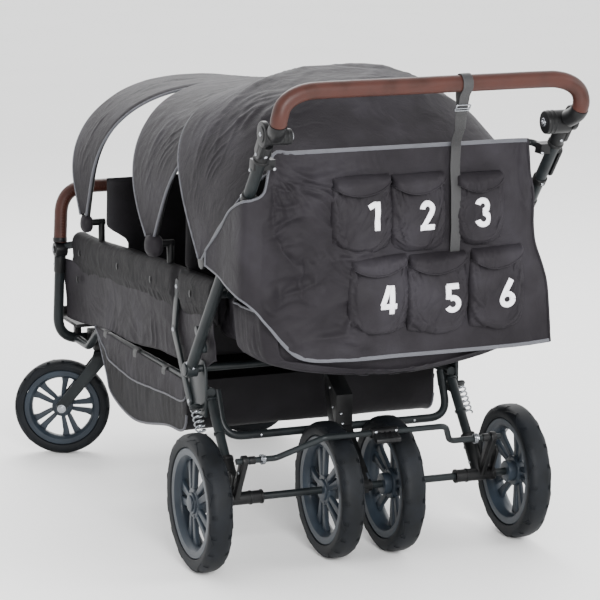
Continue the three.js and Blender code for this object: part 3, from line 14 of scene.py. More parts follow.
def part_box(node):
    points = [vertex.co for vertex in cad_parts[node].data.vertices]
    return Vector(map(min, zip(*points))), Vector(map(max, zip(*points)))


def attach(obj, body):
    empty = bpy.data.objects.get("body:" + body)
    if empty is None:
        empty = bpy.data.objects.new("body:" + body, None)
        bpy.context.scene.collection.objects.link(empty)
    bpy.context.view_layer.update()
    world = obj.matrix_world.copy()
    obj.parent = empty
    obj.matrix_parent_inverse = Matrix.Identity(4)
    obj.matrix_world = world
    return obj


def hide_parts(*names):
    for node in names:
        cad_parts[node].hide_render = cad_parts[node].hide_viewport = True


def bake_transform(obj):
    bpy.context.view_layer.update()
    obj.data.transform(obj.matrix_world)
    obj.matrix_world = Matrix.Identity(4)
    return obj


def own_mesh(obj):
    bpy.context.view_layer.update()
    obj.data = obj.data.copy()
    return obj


bl_info = {
    "name": "Long pushchair",
    "version": (1, 0, 0),
    "blender": (4, 5, 0),
    "location": "View3D > Sidebar > Pushchair",
    "description": "Builds a six-place folding pushchair piece by piece",
    "category": "Add Mesh",
}

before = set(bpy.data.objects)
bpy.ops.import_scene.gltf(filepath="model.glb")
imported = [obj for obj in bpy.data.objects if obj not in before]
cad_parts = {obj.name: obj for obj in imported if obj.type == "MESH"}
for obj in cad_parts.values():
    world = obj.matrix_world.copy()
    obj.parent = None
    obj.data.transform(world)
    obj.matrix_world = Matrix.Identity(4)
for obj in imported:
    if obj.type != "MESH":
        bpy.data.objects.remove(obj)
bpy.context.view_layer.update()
MM = 0.001
AXLE_LOW, AXLE_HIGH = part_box("rear_axle")
CENTRE_X = (AXLE_LOW.x + AXLE_HIGH.x) / 2
AXLE_Y = (AXLE_LOW.y + AXLE_HIGH.y) / 2
CHASSIS = "chassis"
SIDES = (("left", 1), ("right", -1))
ACROSS, REARWARD, UP = Vector((1, 0, 0)), Vector((0, 1, 0)), Vector((0, 0, 1))
BMVert, BMEdge = bmesh.types.BMVert, bmesh.types.BMEdge

# The places that several pieces share, in millimetres from the rear axle
AXLE_Z = 147
PIVOT_Y, PIVOT_Z = -164, 397
HUB_Y, HUB_Z = 301, 957
GRIP_Y, GRIP_Z = 369, 1054
FRONT_Y, KNUCKLE_Z = -1085, 505
BRAKE_Y, BRAKE_Z = 58, 243
PEDAL_Y, PEDAL_Z = 96, 287
CASTER_Y, CASTER_TRAIL, CASTER_RADIUS = -1044, 100, 116
SPRING_LOW, SPRING_HIGH, SPRING_FORWARD = 158, 232, 27
HANDLE_X, POST_X, RAIL_X, SIDE_RAIL_X = 324, 330, 283, 290
SPRING_X = RAIL_X + 29.5
TUBE_RADIUS, POST_RADIUS = 10, 12.5
SLOPE = atan2(HUB_Z - PIVOT_Z, HUB_Y - PIVOT_Y)
HANDLE_LENGTH = hypot(HUB_Y - PIVOT_Y, HUB_Z - PIVOT_Z)
TUBE_END = HANDLE_LENGTH - 68
SIDE_RAIL = ((-1045, 524), (-520, 560), (-8, 585))
PANEL_COLUMNS = (
    (((-281, 215, 905), (-294, 216, 783), (-300, 217, 700), (-329, 216, 610), (-342, 212, 480)), 0),
    (((-240, 215, 906), (-268, 216, 477)), 0.7),
    (((-120, 215, 906), (-130, 217, 476)), 1),
    (((0, 215, 906), (0, 217, 476)), 1),
    (((120, 215, 906), (124, 216, 476)), 1),
    (((240, 215, 906), (222, 206, 487)), 0.8),
    (((281, 215, 905), (290, 206, 556)), 0.4),
    (((300, 215, 836), (312, 203, 583)), 0.2),
    (((324, 212.5, 820), (331, 194, 602)), 0),
    (((343, 198, 814), (343, 172, 613)), 0),
    (((343, 128, 786), (343, 110, 624)), 0),
    (((339, 60, 737), (339, 50, 635)), 0),
    (((343, -14, 682), (343, -18, 647)), 0),
)
HOODS = {
    "front": {"pivot": (-880, 602), "bows": (
        {"lean": 30, "half": 332, "height": 360, "round": 0.9, "leg": 85},
        {"lean": -22.6, "half": 324, "height": 360, "round": 0.73, "leg": 90},
    )},
    "middle": {"pivot": (-387, 632), "bows": (
        {"lean": 44, "half": 334, "height": 438, "round": 0.84, "leg": 45},
        {"lean": -33, "half": 326, "height": 385, "round": 0.7, "leg": 90},
    )},
    "rear": {"pivot": (-56, 652), "bows": (
        {"lean": 38.6, "half": 336, "height": 420, "round": 0.62, "leg": 55},
        {"lean": 14, "half": 336, "height": 392, "round": 0.82, "leg": 60},
        {"lean": -16, "half": 336, "height": 376, "round": 0.9, "leg": 60},
        {"lean": -42, "half": 332, "height": 352, "round": 0.75, "leg": 110, "side": -49},
    )},
}
CASTERS = {"left": (239, 112), "right": (-239, 129)}
WHEELS = {
    "rear_outer_left": 365, "rear_inner_left": 70,
    "rear_inner_right": -70, "rear_outer_right": -365,
}


def at(x, y, z):
    return Vector((CENTRE_X + x * MM, AXLE_Y + y * MM, z * MM))


def on_handle(distance, forward=0.0, x=HANDLE_X):
    """A point beside the handle tube, by its distance from the fold pivot."""
    y = PIVOT_Y + distance * cos(SLOPE) - forward * sin(SLOPE)
    z = PIVOT_Z + distance * sin(SLOPE) + forward * cos(SLOPE)
    return at(x, y, z)


def on_leg(distance, forward=0.0, x=RAIL_X):
    """A point beside the rear leg, by its distance from the axle."""
    lean = atan2(345 - AXLE_Z, PIVOT_Y)
    y = distance * cos(lean) - forward * sin(lean)
    z = AXLE_Z + distance * sin(lean) + forward * cos(lean)
    return at(x, y, z)


def rail_height(y):
    (y0, z0), (y1, z1), (y2, z2) = SIDE_RAIL
    if y < y1:
        return z0 + (z1 - z0) * (y - y0) / (y1 - y0)
    return z1 + (z2 - z1) * (y - y1) / (y2 - y1)


def colour(code):
    """An sRGB hex colour as a linear one."""
    parts = [int(code[i:i + 2], 16) / 255 for i in (1, 3, 5)]
    return tuple(p / 12.92 if p <= 0.04045 else ((p + 0.055) / 1.055) ** 2.4 for p in parts) + (1.0,)


# Settings

class ClothSettings(bpy.types.PropertyGroup):
    """The cloth, its tape and its folds."""
    cloth: FloatVectorProperty(
        name="Cloth", description="Charcoal cloth", subtype="COLOR", default=colour("#201e21")[:3],
        min=0, max=1
    )
    tape: FloatVectorProperty(
        name="Tape", description="Light edge tape", subtype="COLOR", default=colour("#4a4b52")[:3],
        min=0, max=1
    )
    fold: FloatProperty(
        name="Fold depth", description="Depth of the soft folds", unit="LENGTH", default=0.0035, min=0,
        max=0.01
    )
    cloth_wall: FloatProperty(
        name="Cloth thickness", description="Thickness of the cloth", unit="LENGTH", default=0.0014,
        min=0.0005, max=0.004
    )
    tape_radius: FloatProperty(
        name="Tape radius", description="Half the thickness of the edge tape", unit="LENGTH",
        default=0.0032, min=0.001, max=0.008
    )


class FrameSettings(bpy.types.PropertyGroup):
    """The metal frame, its plastic and its wheels."""
    paint: FloatVectorProperty(
        name="Paint", description="Satin frame paint", subtype="COLOR", default=(0.0065, 0.008, 0.0088),
        min=0, max=1
    )
    rim: FloatVectorProperty(
        name="Rim", description="Moulded rims", subtype="COLOR", default=(0.0135, 0.018, 0.0245), min=0,
        max=1
    )
    leather: FloatVectorProperty(
        name="Grip", description="Grip and bumper cover", subtype="COLOR",
        default=(0.036, 0.0108, 0.0075), min=0, max=1
    )
    tube_sides: IntProperty(
        name="Tube sides", description="Sides of a round tube", default=24, min=8, max=48
    )
    wheel_steps: IntProperty(
        name="Wheel steps", description="Steps round a wheel", default=100, min=40, max=160
    )


class StageSettings(bpy.types.PropertyGroup):
    """The floor, the light and the camera."""
    floor: FloatVectorProperty(
        name="Floor", description="Pale floor", subtype="COLOR", default=(0.95, 0.95, 0.945), min=0,
        max=1
    )
    lens: FloatProperty(
        name="Lens", description="Focal length on a 36 mm wide sensor", default=174.12, min=20, max=300
    )
    key: FloatProperty(
        name="Key light", description="Power of the key light", unit="POWER", default=230, min=0,
        max=2000
    )


# Finishes, by the names of their materials

PAINTED, ZINC = "powder-coated steel", "zinc-plated steel"
NYLON, RED_NYLON = "moulded nylon, black", "moulded nylon, red"
SLATE, RUBBER = "moulded polypropylene, slate", "foam rubber, black"
LEATHER, BROWN_THREAD = "coated leather, brown", "stitching thread, brown"
CHARCOAL, LINING = "woven polyester, charcoal", "woven polyester, dark lining"
QUILTED, PRINT = "quilted polyester, wall cover", "transfer print, white"
TAPE, WEBBING, THREAD = "grosgrain tape, grey", "nylon webbing, graphite", "stitching thread"
MATERIALS = {}


def add_node(tree, kind, links=None, **settings):
    """One node: its properties and socket values from settings, its inputs from links."""
    made = tree.nodes.new(kind)
    for key, value in settings.items():
        socket = key.replace("_", " ")
        if hasattr(made, key):
            setattr(made, key, value)
        elif socket in made.inputs:
            made.inputs[socket].default_value = value
        else:
            matching = [s for s in made.inputs if s.name.lower() == socket.lower()]
            matching[0].default_value = value
    for key, source in (links or {}).items():
        tree.links.new(source, made.inputs[key])
    return made


def new_material(name):
    """A material's tree, its shader, and the place on the object that its textures read."""
    material = MATERIALS[name] = bpy.data.materials.new(name)
    material.use_nodes = True
    tree = material.node_tree
    place = add_node(tree, "ShaderNodeTexCoord").outputs["Object"]
    return tree, tree.nodes["Principled BSDF"], place


def ramp(tree, source, stops):
    made = add_node(tree, "ShaderNodeValToRGB", {"Fac": source})
    elements = made.color_ramp.elements
    while len(elements) < len(stops):
        elements.new(0.5)
    for element, (position, value) in zip(elements, stops):
        element.position = position
        element.color = value
    return made.outputs["Color"]


def grey(value):
    return (value, value, value, 1.0)


def woven_polyester(name, dark, base, light, thread, sheen, gloss):
    """600-denier polyester, woven flat and coated inside: a soft broad gloss, a fine thread
    grid, slow random changes of tint, painted shade that darkens the colour in the creases, and a fuzz
    of sheen.
    Threads lie 0.6 mm apart, and the weave is drawn at 3 mm, so it shows from a step away."""
    tree, shader, place = new_material(name)
    uv = add_node(tree, "ShaderNodeUVMap", uv_map="weave").outputs["UV"]
    blotch = add_node(
        tree, "ShaderNodeTexNoise", {"Vector": place}, scale=7.0, detail=4.0, roughness=0.55
    )
    crease = add_node(
        tree, "ShaderNodeTexNoise", {"Vector": place}, scale=26.0, detail=5.0, roughness=0.6,
        distortion=1.4
    )
    tint = ramp(tree, blotch.outputs["Fac"], ((0.3, dark), (0.5, base), (0.72, light)))
    warp, weft = (
        add_node(
            tree, "ShaderNodeTexWave", {"Vector": uv}, wave_type="BANDS", bands_direction=way,
            wave_profile="SIN", scale=thread, distortion=0.6, detail=1.0
        )
        for way in ("X", "Y")
    )
    weave = add_node(
        tree, "ShaderNodeMath", {0: warp.outputs["Fac"], 1: weft.outputs["Fac"]}, operation="MULTIPLY"
    )
    # Painted shade: the colour darkens where the crease noise sinks into a fold, the same noise that
    # drives the fold's bump
    shade = ramp(tree, crease.outputs["Fac"], ((0.3, grey(0.82)), (0.7, grey(1.0))))
    crease_shaded = add_node(
        tree, "ShaderNodeMixRGB", {"Fac": weave.outputs[0], "Color1": tint, "Color2": shade},
        blend_type="MULTIPLY"
    )
    tree.links.new(crease_shaded.outputs["Color"], shader.inputs["Base Color"])
    rough = add_node(
        tree, "ShaderNodeMapRange", {"Value": crease.outputs["Fac"]}, to_min=0.5, to_max=0.68
    )
    tree.links.new(rough.outputs["Result"], shader.inputs["Roughness"])
    ridge = add_node(
        tree, "ShaderNodeTexNoise", {"Vector": place}, noise_type="RIDGED_MULTIFRACTAL", scale=15.0,
        detail=3.0, roughness=0.5, distortion=0.9
    )
    soft = add_node(
        tree, "ShaderNodeBump", {"Height": ridge.outputs["Fac"]}, strength=0.45, distance=0.004
    )
    fold = add_node(
        tree, "ShaderNodeBump", {"Height": crease.outputs["Fac"], "Normal": soft.outputs["Normal"]},
        strength=0.4, distance=0.004
    )
    threads = add_node(
        tree, "ShaderNodeBump", {"Height": weave.outputs[0], "Normal": fold.outputs["Normal"]},
        strength=0.22, distance=0.0005
    )
    tree.links.new(threads.outputs["Normal"], shader.inputs["Normal"])
    shader.inputs["Sheen Weight"].default_value = sheen
    shader.inputs["Sheen Roughness"].default_value = 0.45
    shader.inputs["Sheen Tint"].default_value = colour("#9a96a4")
    shader.inputs["Specular IOR Level"].default_value = gloss


def ribbed_tape(name, base, dark, ribs):
    """Grosgrain or webbing: polyester ribs across the band, 1.2 mm apart, slightly shiny."""
    tree, shader, place = new_material(name)
    rib = add_node(
        tree, "ShaderNodeTexWave", {"Vector": place}, wave_type="BANDS", bands_direction="DIAGONAL",
        scale=ribs, distortion=0.4
    )
    dust = add_node(tree, "ShaderNodeTexNoise", {"Vector": place}, scale=30.0, detail=3.0)
    both = add_node(
        tree, "ShaderNodeMath", {0: rib.outputs["Fac"], 1: dust.outputs["Fac"]}, operation="MULTIPLY"
    )
    tint = ramp(tree, both.outputs[0], ((0.05, dark), (0.5, base)))
    tree.links.new(tint, shader.inputs["Base Color"])
    bump = add_node(
        tree, "ShaderNodeBump", {"Height": rib.outputs["Fac"]}, strength=0.4, distance=0.0006
    )
    tree.links.new(bump.outputs["Normal"], shader.inputs["Normal"])
    shader.inputs["Roughness"].default_value = 0.6
    shader.inputs["Sheen Weight"].default_value = 0.05


def solid_finish(name, tone, stops, gloss, relief=None, level=0.5, metallic=0.0):
    """A hard or rubbery finish. Tone is one slow noise (scale, detail, roughness) that moves
    the colour between the stops and the roughness between both values of gloss. Relief is
    the fine one: its texture, output, texture settings, strength and depth."""
    tree, shader, place = new_material(name)
    scale, detail, roughness = tone
    slow = add_node(
        tree, "ShaderNodeTexNoise", {"Vector": place}, scale=scale, detail=detail, roughness=roughness
    )
    tree.links.new(ramp(tree, slow.outputs["Fac"], stops), shader.inputs["Base Color"])
    rough = add_node(
        tree, "ShaderNodeMapRange", {"Value": slow.outputs["Fac"]}, to_min=gloss[0], to_max=gloss[1]
    )
    tree.links.new(rough.outputs["Result"], shader.inputs["Roughness"])
    if relief:
        kind, output, settings, strength, depth = relief
        fine = add_node(tree, kind, {"Vector": place}, **settings)
        bump = add_node(
            tree, "ShaderNodeBump", {"Height": fine.outputs[output]}, strength=strength, distance=depth
        )
        tree.links.new(bump.outputs["Normal"], shader.inputs["Normal"])
    shader.inputs["Specular IOR Level"].default_value = level
    shader.inputs["Metallic"].default_value = metallic
    return shader


def noise_relief(scale, detail, strength, depth):
    return "ShaderNodeTexNoise", "Fac", {"scale": scale, "detail": detail}, strength, depth


def plain_finish(name, base, low, high):
    """A small piece's finish: its colour with a faint uneven gloss."""
    dark = (*(c * 0.85 for c in base[:3]), 1.0)
    solid_finish(name, (40.0, 4.0, 0.5), ((0.3, dark), (0.7, base)), (low, high))


class PUSHCHAIR_OT_materials(bpy.types.Operator):
    """Make every finish before the pieces that wear it"""
    bl_idname = "pushchair.materials"
    bl_label = "Finishes"

    def execute(self, context):
        look = context.scene.pushchair_cloth
        woven_polyester(
            CHARCOAL, colour("#19171a"), (*look.cloth, 1.0), colour("#2a282c"), 105.0, 0.02, 0.08
        )
        woven_polyester(
            LINING, colour("#0f0e10"), colour("#151416"), colour("#1c1b1e"), 105.0, 0.0, 0.1
        )
        woven_polyester(
            QUILTED, colour("#101011"), colour("#151416"), colour("#1b1a1c"), 85.0, 0.0, 0.06
        )
        ribbed_tape(TAPE, (*look.tape, 1.0), colour("#35363b"), 260.0)
        ribbed_tape(WEBBING, colour("#19191b"), colour("#0f0f10"), 240.0)
        look = context.scene.pushchair_frame

        # An orange peel 2 mm across under a satin coat, with paler rubbed places on the tubes
        stops = ((0.38, (*look.paint, 1.0)), (0.8, colour("#1f2426")))
        paint = solid_finish(
            PAINTED, (15.0, 6.0, 0.65), stops, (0.3, 0.46), noise_relief(520.0, 2.0, 0.18, 0.0003),
            0.16, 0.05
        )
        paint.inputs["Coat Weight"].default_value = 0.03
        paint.inputs["Coat Roughness"].default_value = 0.25

        # A spark-eroded grain of about 1 mm, with a lighter bloom where the moulding is rubbed
        grain = noise_relief(900.0, 2.0, 0.3, 0.0002)
        stops = ((0.35, colour("#09090a")), (0.75, colour("#131415")))
        solid_finish(NYLON, (22.0, 5.0, 0.5), stops, (0.33, 0.5), grain, 0.2)
        stops = ((0.35, (*look.rim, 1.0)), (0.75, colour("#283038")))
        solid_finish(SLATE, (22.0, 5.0, 0.5), stops, (0.27, 0.44), grain, 0.2)

        # Bright plating with cloudy passivation
        stops = ((0.3, colour("#8c8f94")), (0.7, colour("#94979b")))
        solid_finish(ZINC, (60.0, 4.0, 0.5), stops, (0.18, 0.36), metallic=1.0)

        # Matt black skin with mould dust, slightly shiny on the shoulders
        stops = ((0.35, colour("#090b0d")), (0.78, colour("#14171c")))
        solid_finish(
            RUBBER, (14.0, 6.0, 0.7), stops, (0.48, 0.66), noise_relief(420.0, 3.0, 0.25, 0.0004), 0.14
        )

        # Pebbled grain 1.6 mm across, polished a little where hands rub it
        pebbles = {"feature": "DISTANCE_TO_EDGE", "scale": 620.0, "randomness": 1.0}
        stops = ((0.3, colour("#28120b")), (0.5, (*look.leather, 1.0)), (0.75, colour("#3a1b13")))
        solid_finish(
            LEATHER, (18.0, 5.0, 0.5), stops, (0.36, 0.55),
            ("ShaderNodeTexVoronoi", "Distance", pebbles, 0.35, 0.0006), 0.22
        )

        plain_finish(PRINT, colour("#eceaf0"), 0.49, 0.61)
        plain_finish(THREAD, colour("#2a282b"), 0.74, 0.86)
        plain_finish(BROWN_THREAD, colour("#4b2a20"), 0.64, 0.76)
        plain_finish(RED_NYLON, colour("#a3231c"), 0.29, 0.41)
        return {"FINISHED"}


# Mesh tools

def only(kind, geom):
    """The verts, edges or faces in what an operator made."""
    return [g for g in geom if isinstance(g, kind)]


def break_edges(bm, edges, offset, segments=3):
    """Bevel edges by an offset in millimetres."""
    bmesh.ops.bevel(
        bm, geom=edges, offset=offset * MM, segments=segments, profile=0.5, affect="EDGES", material=-1
    )


def thicken(bm, verts, step, bevel, segments=3, upright=False):
    """A slab from the outline of one side, with its rims broken, and its upright edges too."""
    face = bm.faces.new(verts)
    moved = only(BMVert, bmesh.ops.extrude_face_region(bm, geom=[face])["geom"])
    bmesh.ops.translate(bm, vec=step, verts=moved)
    mine = set(verts) | set(moved)
    rims = []
    for e in bm.edges:
        a, b = e.verts
        if a in mine and b in mine and (upright or (a in verts) == (b in verts)):
            rims.append(e)
    break_edges(bm, rims, bevel, segments)


def powered(value, power):
    """A power that keeps the value's sign, which squares a circle's sides."""
    return copysign(abs(value) ** power, value)


def carried_frames(points, across=None):
    """A frame at each point: Z along the run, X either carried along it or kept across."""
    tangents = []
    for i, point in enumerate(points):
        before = points[max(i - 1, 0)]
        after = points[min(i + 1, len(points) - 1)]
        tangents.append((after - before).normalized())
    start = across or tangents[0].orthogonal()
    frames = []
    side = (start - tangents[0] * start.dot(tangents[0])).normalized()
    for point, tangent in zip(points, tangents):
        side = across or side
        side = (side - tangent * side.dot(tangent)).normalized()
        other = tangent.cross(side)
        frames.append(Matrix((
            (side.x, other.x, tangent.x, point.x),
            (side.y, other.y, tangent.y, point.y),
            (side.z, other.z, tangent.z, point.z),
            (0, 0, 0, 1),
        )))
    return frames


def bent(corners, bend, steps=10):
    """Points along straight runs, their corners rounded by a bend in millimetres."""
    points = [corners[0]]
    for before, corner, after in zip(corners, corners[1:], corners[2:]):
        a = (before - corner).normalized()
        b = (after - corner).normalized()
        angle = pi - a.angle(b)
        if angle < 0.01:
            points.append(corner)
            continue
        longest = 0.49 * min((before - corner).length, (after - corner).length)
        cut = min(bend * MM * tan(angle / 2), longest)
        for k in range(steps + 1):
            t = k / steps
            start, end = corner + a * cut, corner + b * cut
            points.append(start * (1 - t) ** 2 + corner * 2 * t * (1 - t) + end * t ** 2)
    points.append(corners[-1])
    return points


def sweep(bm, points, size, sides, across=None, radii=None):
    """A bar along points: one ring of it, extruded from point to point, with closed ends.
    Its size in millimetres is a round bar's radius, or a band's width and thickness."""
    frames = carried_frames(points, across)
    ring = bmesh.ops.create_circle(bm, segments=sides, radius=1.0)["verts"]
    if isinstance(size, tuple):
        for v in ring:
            for i in (0, 1):
                v.co[i] = size[i] * MM / 2 * powered(v.co[i], 0.35)
    else:
        bmesh.ops.scale(bm, vec=(size * MM,) * 3, verts=ring)
    first = edges = list({e for v in ring for e in v.link_edges})
    bmesh.ops.transform(bm, matrix=frames[0], verts=ring)
    if radii:
        bmesh.ops.scale(bm, vec=(radii[0],) * 3, space=Matrix.Translation(-points[0]), verts=ring)
    for i in range(1, len(frames)):
        grown = bmesh.ops.extrude_edge_only(bm, edges=edges)["geom"]
        ring = only(BMVert, grown)
        inside = set(ring)
        edges = [e for e in only(BMEdge, grown) if e.verts[0] in inside and e.verts[1] in inside]
        bmesh.ops.transform(bm, matrix=frames[i] @ frames[i - 1].inverted(), verts=ring)
        if radii:
            ratio = radii[i] / radii[i - 1]
            bmesh.ops.scale(bm, vec=(ratio,) * 3, space=Matrix.Translation(-points[i]), verts=ring)
    for loop in (first, edges):
        bmesh.ops.contextual_create(bm, geom=loop)


def drum(bm, start, end, radius, sides, bevel, top=None):
    """A round boss between two points, its end edges broken. Sizes are in millimetres."""
    axis = end - start
    matrix = Matrix.Translation((start + end) / 2) @ axis.to_track_quat("Z", "Y").to_matrix().to_4x4()
    made = bmesh.ops.create_cone(
        bm, cap_ends=True, segments=sides, radius1=radius * MM, radius2=(top or radius) * MM,
        depth=axis.length, matrix=matrix
    )
    rims = {
        e for v in made["verts"] for e in v.link_edges if any(len(f.verts) > 4 for f in e.link_faces)
    }
    break_edges(bm, list(rims), bevel)


def across_drum(bm, x0, x1, y, z, radius, sides, bevel):
    drum(bm, at(x0, y, z), at(x1, y, z), radius, sides, bevel)


def rivet(bm, place, outward, radius):
    """A domed rivet head."""
    made = bmesh.ops.create_uvsphere(bm, u_segments=14, v_segments=8, radius=radius * MM)
    turn = outward.to_track_quat("Z", "Y").to_matrix().to_4x4()
    bmesh.ops.transform(
        bm, matrix=Matrix.Translation(place) @ turn @ Matrix.Diagonal((1, 1, 0.55, 1)),
        verts=made["verts"]
    )


def plate(bm, outline, x0, x1, bevel):
    """A flat plate drawn from the side in millimetres, its thickness across the pushchair."""
    verts = [bm.verts.new(at(x0, y, z)) for y, z in outline]
    thicken(bm, verts, ACROSS * (x1 - x0) * MM, bevel, 2)


def bar_outline(a, b, width, steps=8):
    """An outline round a bar with round ends, from eye to eye, in Y and Z."""
    along = atan2(b[1] - a[1], b[0] - a[0])
    points = []
    for eye, start in ((b, along - pi / 2), (a, along + pi / 2)):
        for k in range(steps + 1):
            turn = start + pi * k / steps
            points.append((eye[0] + width / 2 * cos(turn), eye[1] + width / 2 * sin(turn)))
    return points


def mirrored_points(points):
    return [Vector((2 * CENTRE_X - p.x, p.y, p.z)) for p in points]


def finish_piece(name, bm, material, body=CHASSIS, *nodes, slot=None, angle=38, sign=1):
    """Turn a bmesh into a finished object that rides on its body. Every side piece is drawn
    on the left, and sign -1 turns it over to the right."""
    if sign < 0:
        for v in bm.verts:
            v.co.x = 2 * CENTRE_X - v.co.x
    bmesh.ops.recalc_face_normals(bm, faces=bm.faces)
    mesh = bpy.data.meshes.new(name)
    bm.to_mesh(mesh)
    bm.free()
    mesh.shade_smooth()
    mesh.set_sharp_from_angle(angle=radians(angle))
    return place_piece(name, mesh, material, body, nodes)


def new_object(name, data):
    obj = bpy.data.objects.new(name, data)
    bpy.context.scene.collection.objects.link(obj)
    return obj


def place_piece(name, mesh, material, body=CHASSIS, nodes=()):
    obj = new_object(name, mesh)
    mesh.materials.append(MATERIALS[material])
    return declare(obj, body, nodes)


def declare(obj, body, nodes):
    """Say what a piece rides on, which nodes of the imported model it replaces."""
    if body:
        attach(obj, body)
    if nodes:
        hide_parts(*nodes)
    return obj


def apply_modifiers(obj):
    """Keep what the modifiers made as the object's own mesh."""
    graph = bpy.context.evaluated_depsgraph_get()
    graph.update()
    evaluated = obj.evaluated_get(graph)
    mesh = bpy.data.meshes.new_from_object(evaluated, preserve_all_data_layers=True, depsgraph=graph)
    old = obj.data
    obj.modifiers.clear()
    obj.data = mesh
    bpy.data.meshes.remove(old)
    return obj


def add_wall(obj, thickness, grow=-1.0):
    """Give a surface a thickness, inwards, outwards or to both sides."""
    solid = obj.modifiers.new("wall", "SOLIDIFY")
    solid.thickness = thickness
    solid.offset = grow


def cloth_sheet(name, columns, rows, place, size, material=CHARCOAL, wall=None, grow=-1.0):
    """A sheet of cloth from a grid: place(u, v) gives each point, size is its real width and
    length in metres, which the weave's own map follows."""
    mesh = bpy.data.meshes.new(name)
    bm = bmesh.new()
    uv = bm.loops.layers.uv.new("weave")
    bmesh.ops.create_grid(bm, x_segments=columns, y_segments=rows, size=0.5)
    shares = {v: (v.co.x + 0.5, v.co.y + 0.5) for v in bm.verts}
    for face in bm.faces:
        for loop in face.loops:
            u, v = shares[loop.vert]
            loop[uv].uv = (u * size[0], v * size[1])
    for v, (u, w) in shares.items():
        v.co = place(u, w)
    bm.to_mesh(mesh)
    bm.free()
    mesh.shade_smooth()
    obj = new_object(name, mesh)
    mesh.materials.append(MATERIALS[material])
    if wall:
        add_wall(obj, wall, grow)
    return obj


def hang(obj, width, held, rests_on, *nodes, body=CHASSIS):
    """Finish a sheet of cloth: keep what its modifiers made, and let it ride on its body, hiding the
    nodes that it replaces. Its real width is passed in but not used."""
    apply_modifiers(obj)
    declare(obj, body, nodes)
    return obj


def stuff(obj, fill, *nodes, merge=True):
    """Close a cover all round, and let it ride on the chassis, hiding the nodes it replaces. How full
    its padding is (fill) is not used.
    """
    bm = bmesh.new()
    bm.from_mesh(obj.data)
    if merge:
        bmesh.ops.remove_doubles(bm, verts=bm.verts, dist=0.0001)
    bmesh.ops.holes_fill(bm, edges=[e for e in bm.edges if e.is_boundary], sides=0)
    bmesh.ops.recalc_face_normals(bm, faces=bm.faces)
    bm.to_mesh(obj.data)
    bm.free()
    obj.data.shade_smooth()
    declare(obj, CHASSIS, nodes)
    return obj


def clamp(value, low=0.0, high=1.0):
    return max(low, min(high, value))


def soft_noise(point, scale, seed):
    return noise.noise(point * scale + Vector((seed, seed * 1.7, -seed)))


def drift(x, y, z):
    """Smooth noise, about -1 to 1."""
    return noise.noise(Vector((x, y, z)))


def creases(x, z, degrees, long, short, seed):
    """Narrow ridges, 0 to 1, that run along one direction in patches; lengths in millimetres."""
    warp = 11 * drift(x / 150, z / 150, seed + 20)
    turn = radians(degrees + warp)
    c, s = cos(turn), sin(turn)
    wave = drift((x * c + z * s) / long, (z * c - x * s + warp) / short, seed)
    patch = clamp(0.55 + 2.2 * drift(x / 120, z / 120, seed + 40))
    return patch * max(0.0, 1 - abs(wave) * 2.8) ** 1.5


def near(value, middle, spread):
    """1 at the middle, falling away smoothly over the spread."""
    return exp(-((value - middle) / spread) ** 2)


def run_length(points):
    return sum((b - a).length for a, b in zip(points, points[1:]))


def resample(points, count):
    """The same run as count + 1 points at even steps."""
    lengths = [0.0]
    for a, b in zip(points, points[1:]):
        lengths.append(lengths[-1] + (b - a).length)
    result, i = [], 0
    for k in range(count + 1):
        wanted = lengths[-1] * k / count
        while i < len(points) - 2 and lengths[i + 1] < wanted:
            i += 1
        span = lengths[i + 1] - lengths[i]
        result.append(points[i].lerp(points[i + 1], (wanted - lengths[i]) / span if span else 0))
    return result


def smooth_run(points, steps=6):
    """A smooth run through a few points (Catmull-Rom)."""
    ends = [points[0] * 2 - points[1], *points, points[-1] * 2 - points[-2]]
    result = []
    for a, b, c, d in zip(ends, ends[1:], ends[2:], ends[3:]):
        for k in range(steps):
            t = k / steps
            straight = 2 * b + (c - a) * t
            bend = (2 * a - 5 * b + 4 * c - d) * t * t
            twist = (3 * b - a - 3 * c + d) * t ** 3
            result.append(0.5 * (straight + bend + twist))
    result.append(points[-1])
    return result


# Wheels

def spun(bm, profile, steps):
    """A ring of revolution from a closed profile of (radius, along) in millimetres."""
    verts = [bm.verts.new(Vector((a, 0, r)) * MM) for r, a in profile]
    edges = [bm.edges.new(pair) for pair in zip(verts, verts[1:] + verts[:1])]
    bmesh.ops.spin(
        bm, geom=verts + edges, cent=Vector(), axis=ACROSS, angle=2 * pi, steps=steps, use_merge=True,
        use_duplicate=False
    )


def tyre_mesh(bm, radius, rim, width, steps):
    """Round foam tyre: a smooth crown, a bead by the rim and low cuts along each shoulder."""
    right = [(rim + 0.4, width * 0.37), (rim + 2.4, width * 0.43)]
    right += [tyre_skin(radius, rim, width, turn) for turn in range(72, -1, -8)]
    profile = right + [(r, -a) for r, a in reversed(right[:-1])]
    spun(bm, profile, steps)
    bmesh.ops.recalc_face_normals(bm, faces=bm.faces)
    cuts = []
    for f in bm.faces:
        c = f.calc_center_median()
        turn = atan2(c.z, c.y) / (2 * pi) * steps
        if (
                width * 0.24 < abs(c.x) / MM < width * 0.4 and hypot(c.y, c.z) / MM > radius - 9
                and int(turn // 1) % 5 == 0
        ):
            cuts.append(f)
    for f in bmesh.ops.extrude_discrete_faces(bm, faces=cuts)["faces"]:
        bmesh.ops.translate(bm, vec=-f.normal * 0.9 * MM, verts=f.verts)


def tyre_skin(radius, rim, width, degrees, over=0.0):
    """A place on the tyre's skin, by its angle from the crown: its radius and its width."""
    turn = radians(degrees)
    grow = radius - rim
    reach = max(cos(turn), 0.0) ** 0.72
    return rim + grow * 0.12 + (grow * 0.88 + over) * reach, (width / 2 + over) * sin(turn) ** 0.62


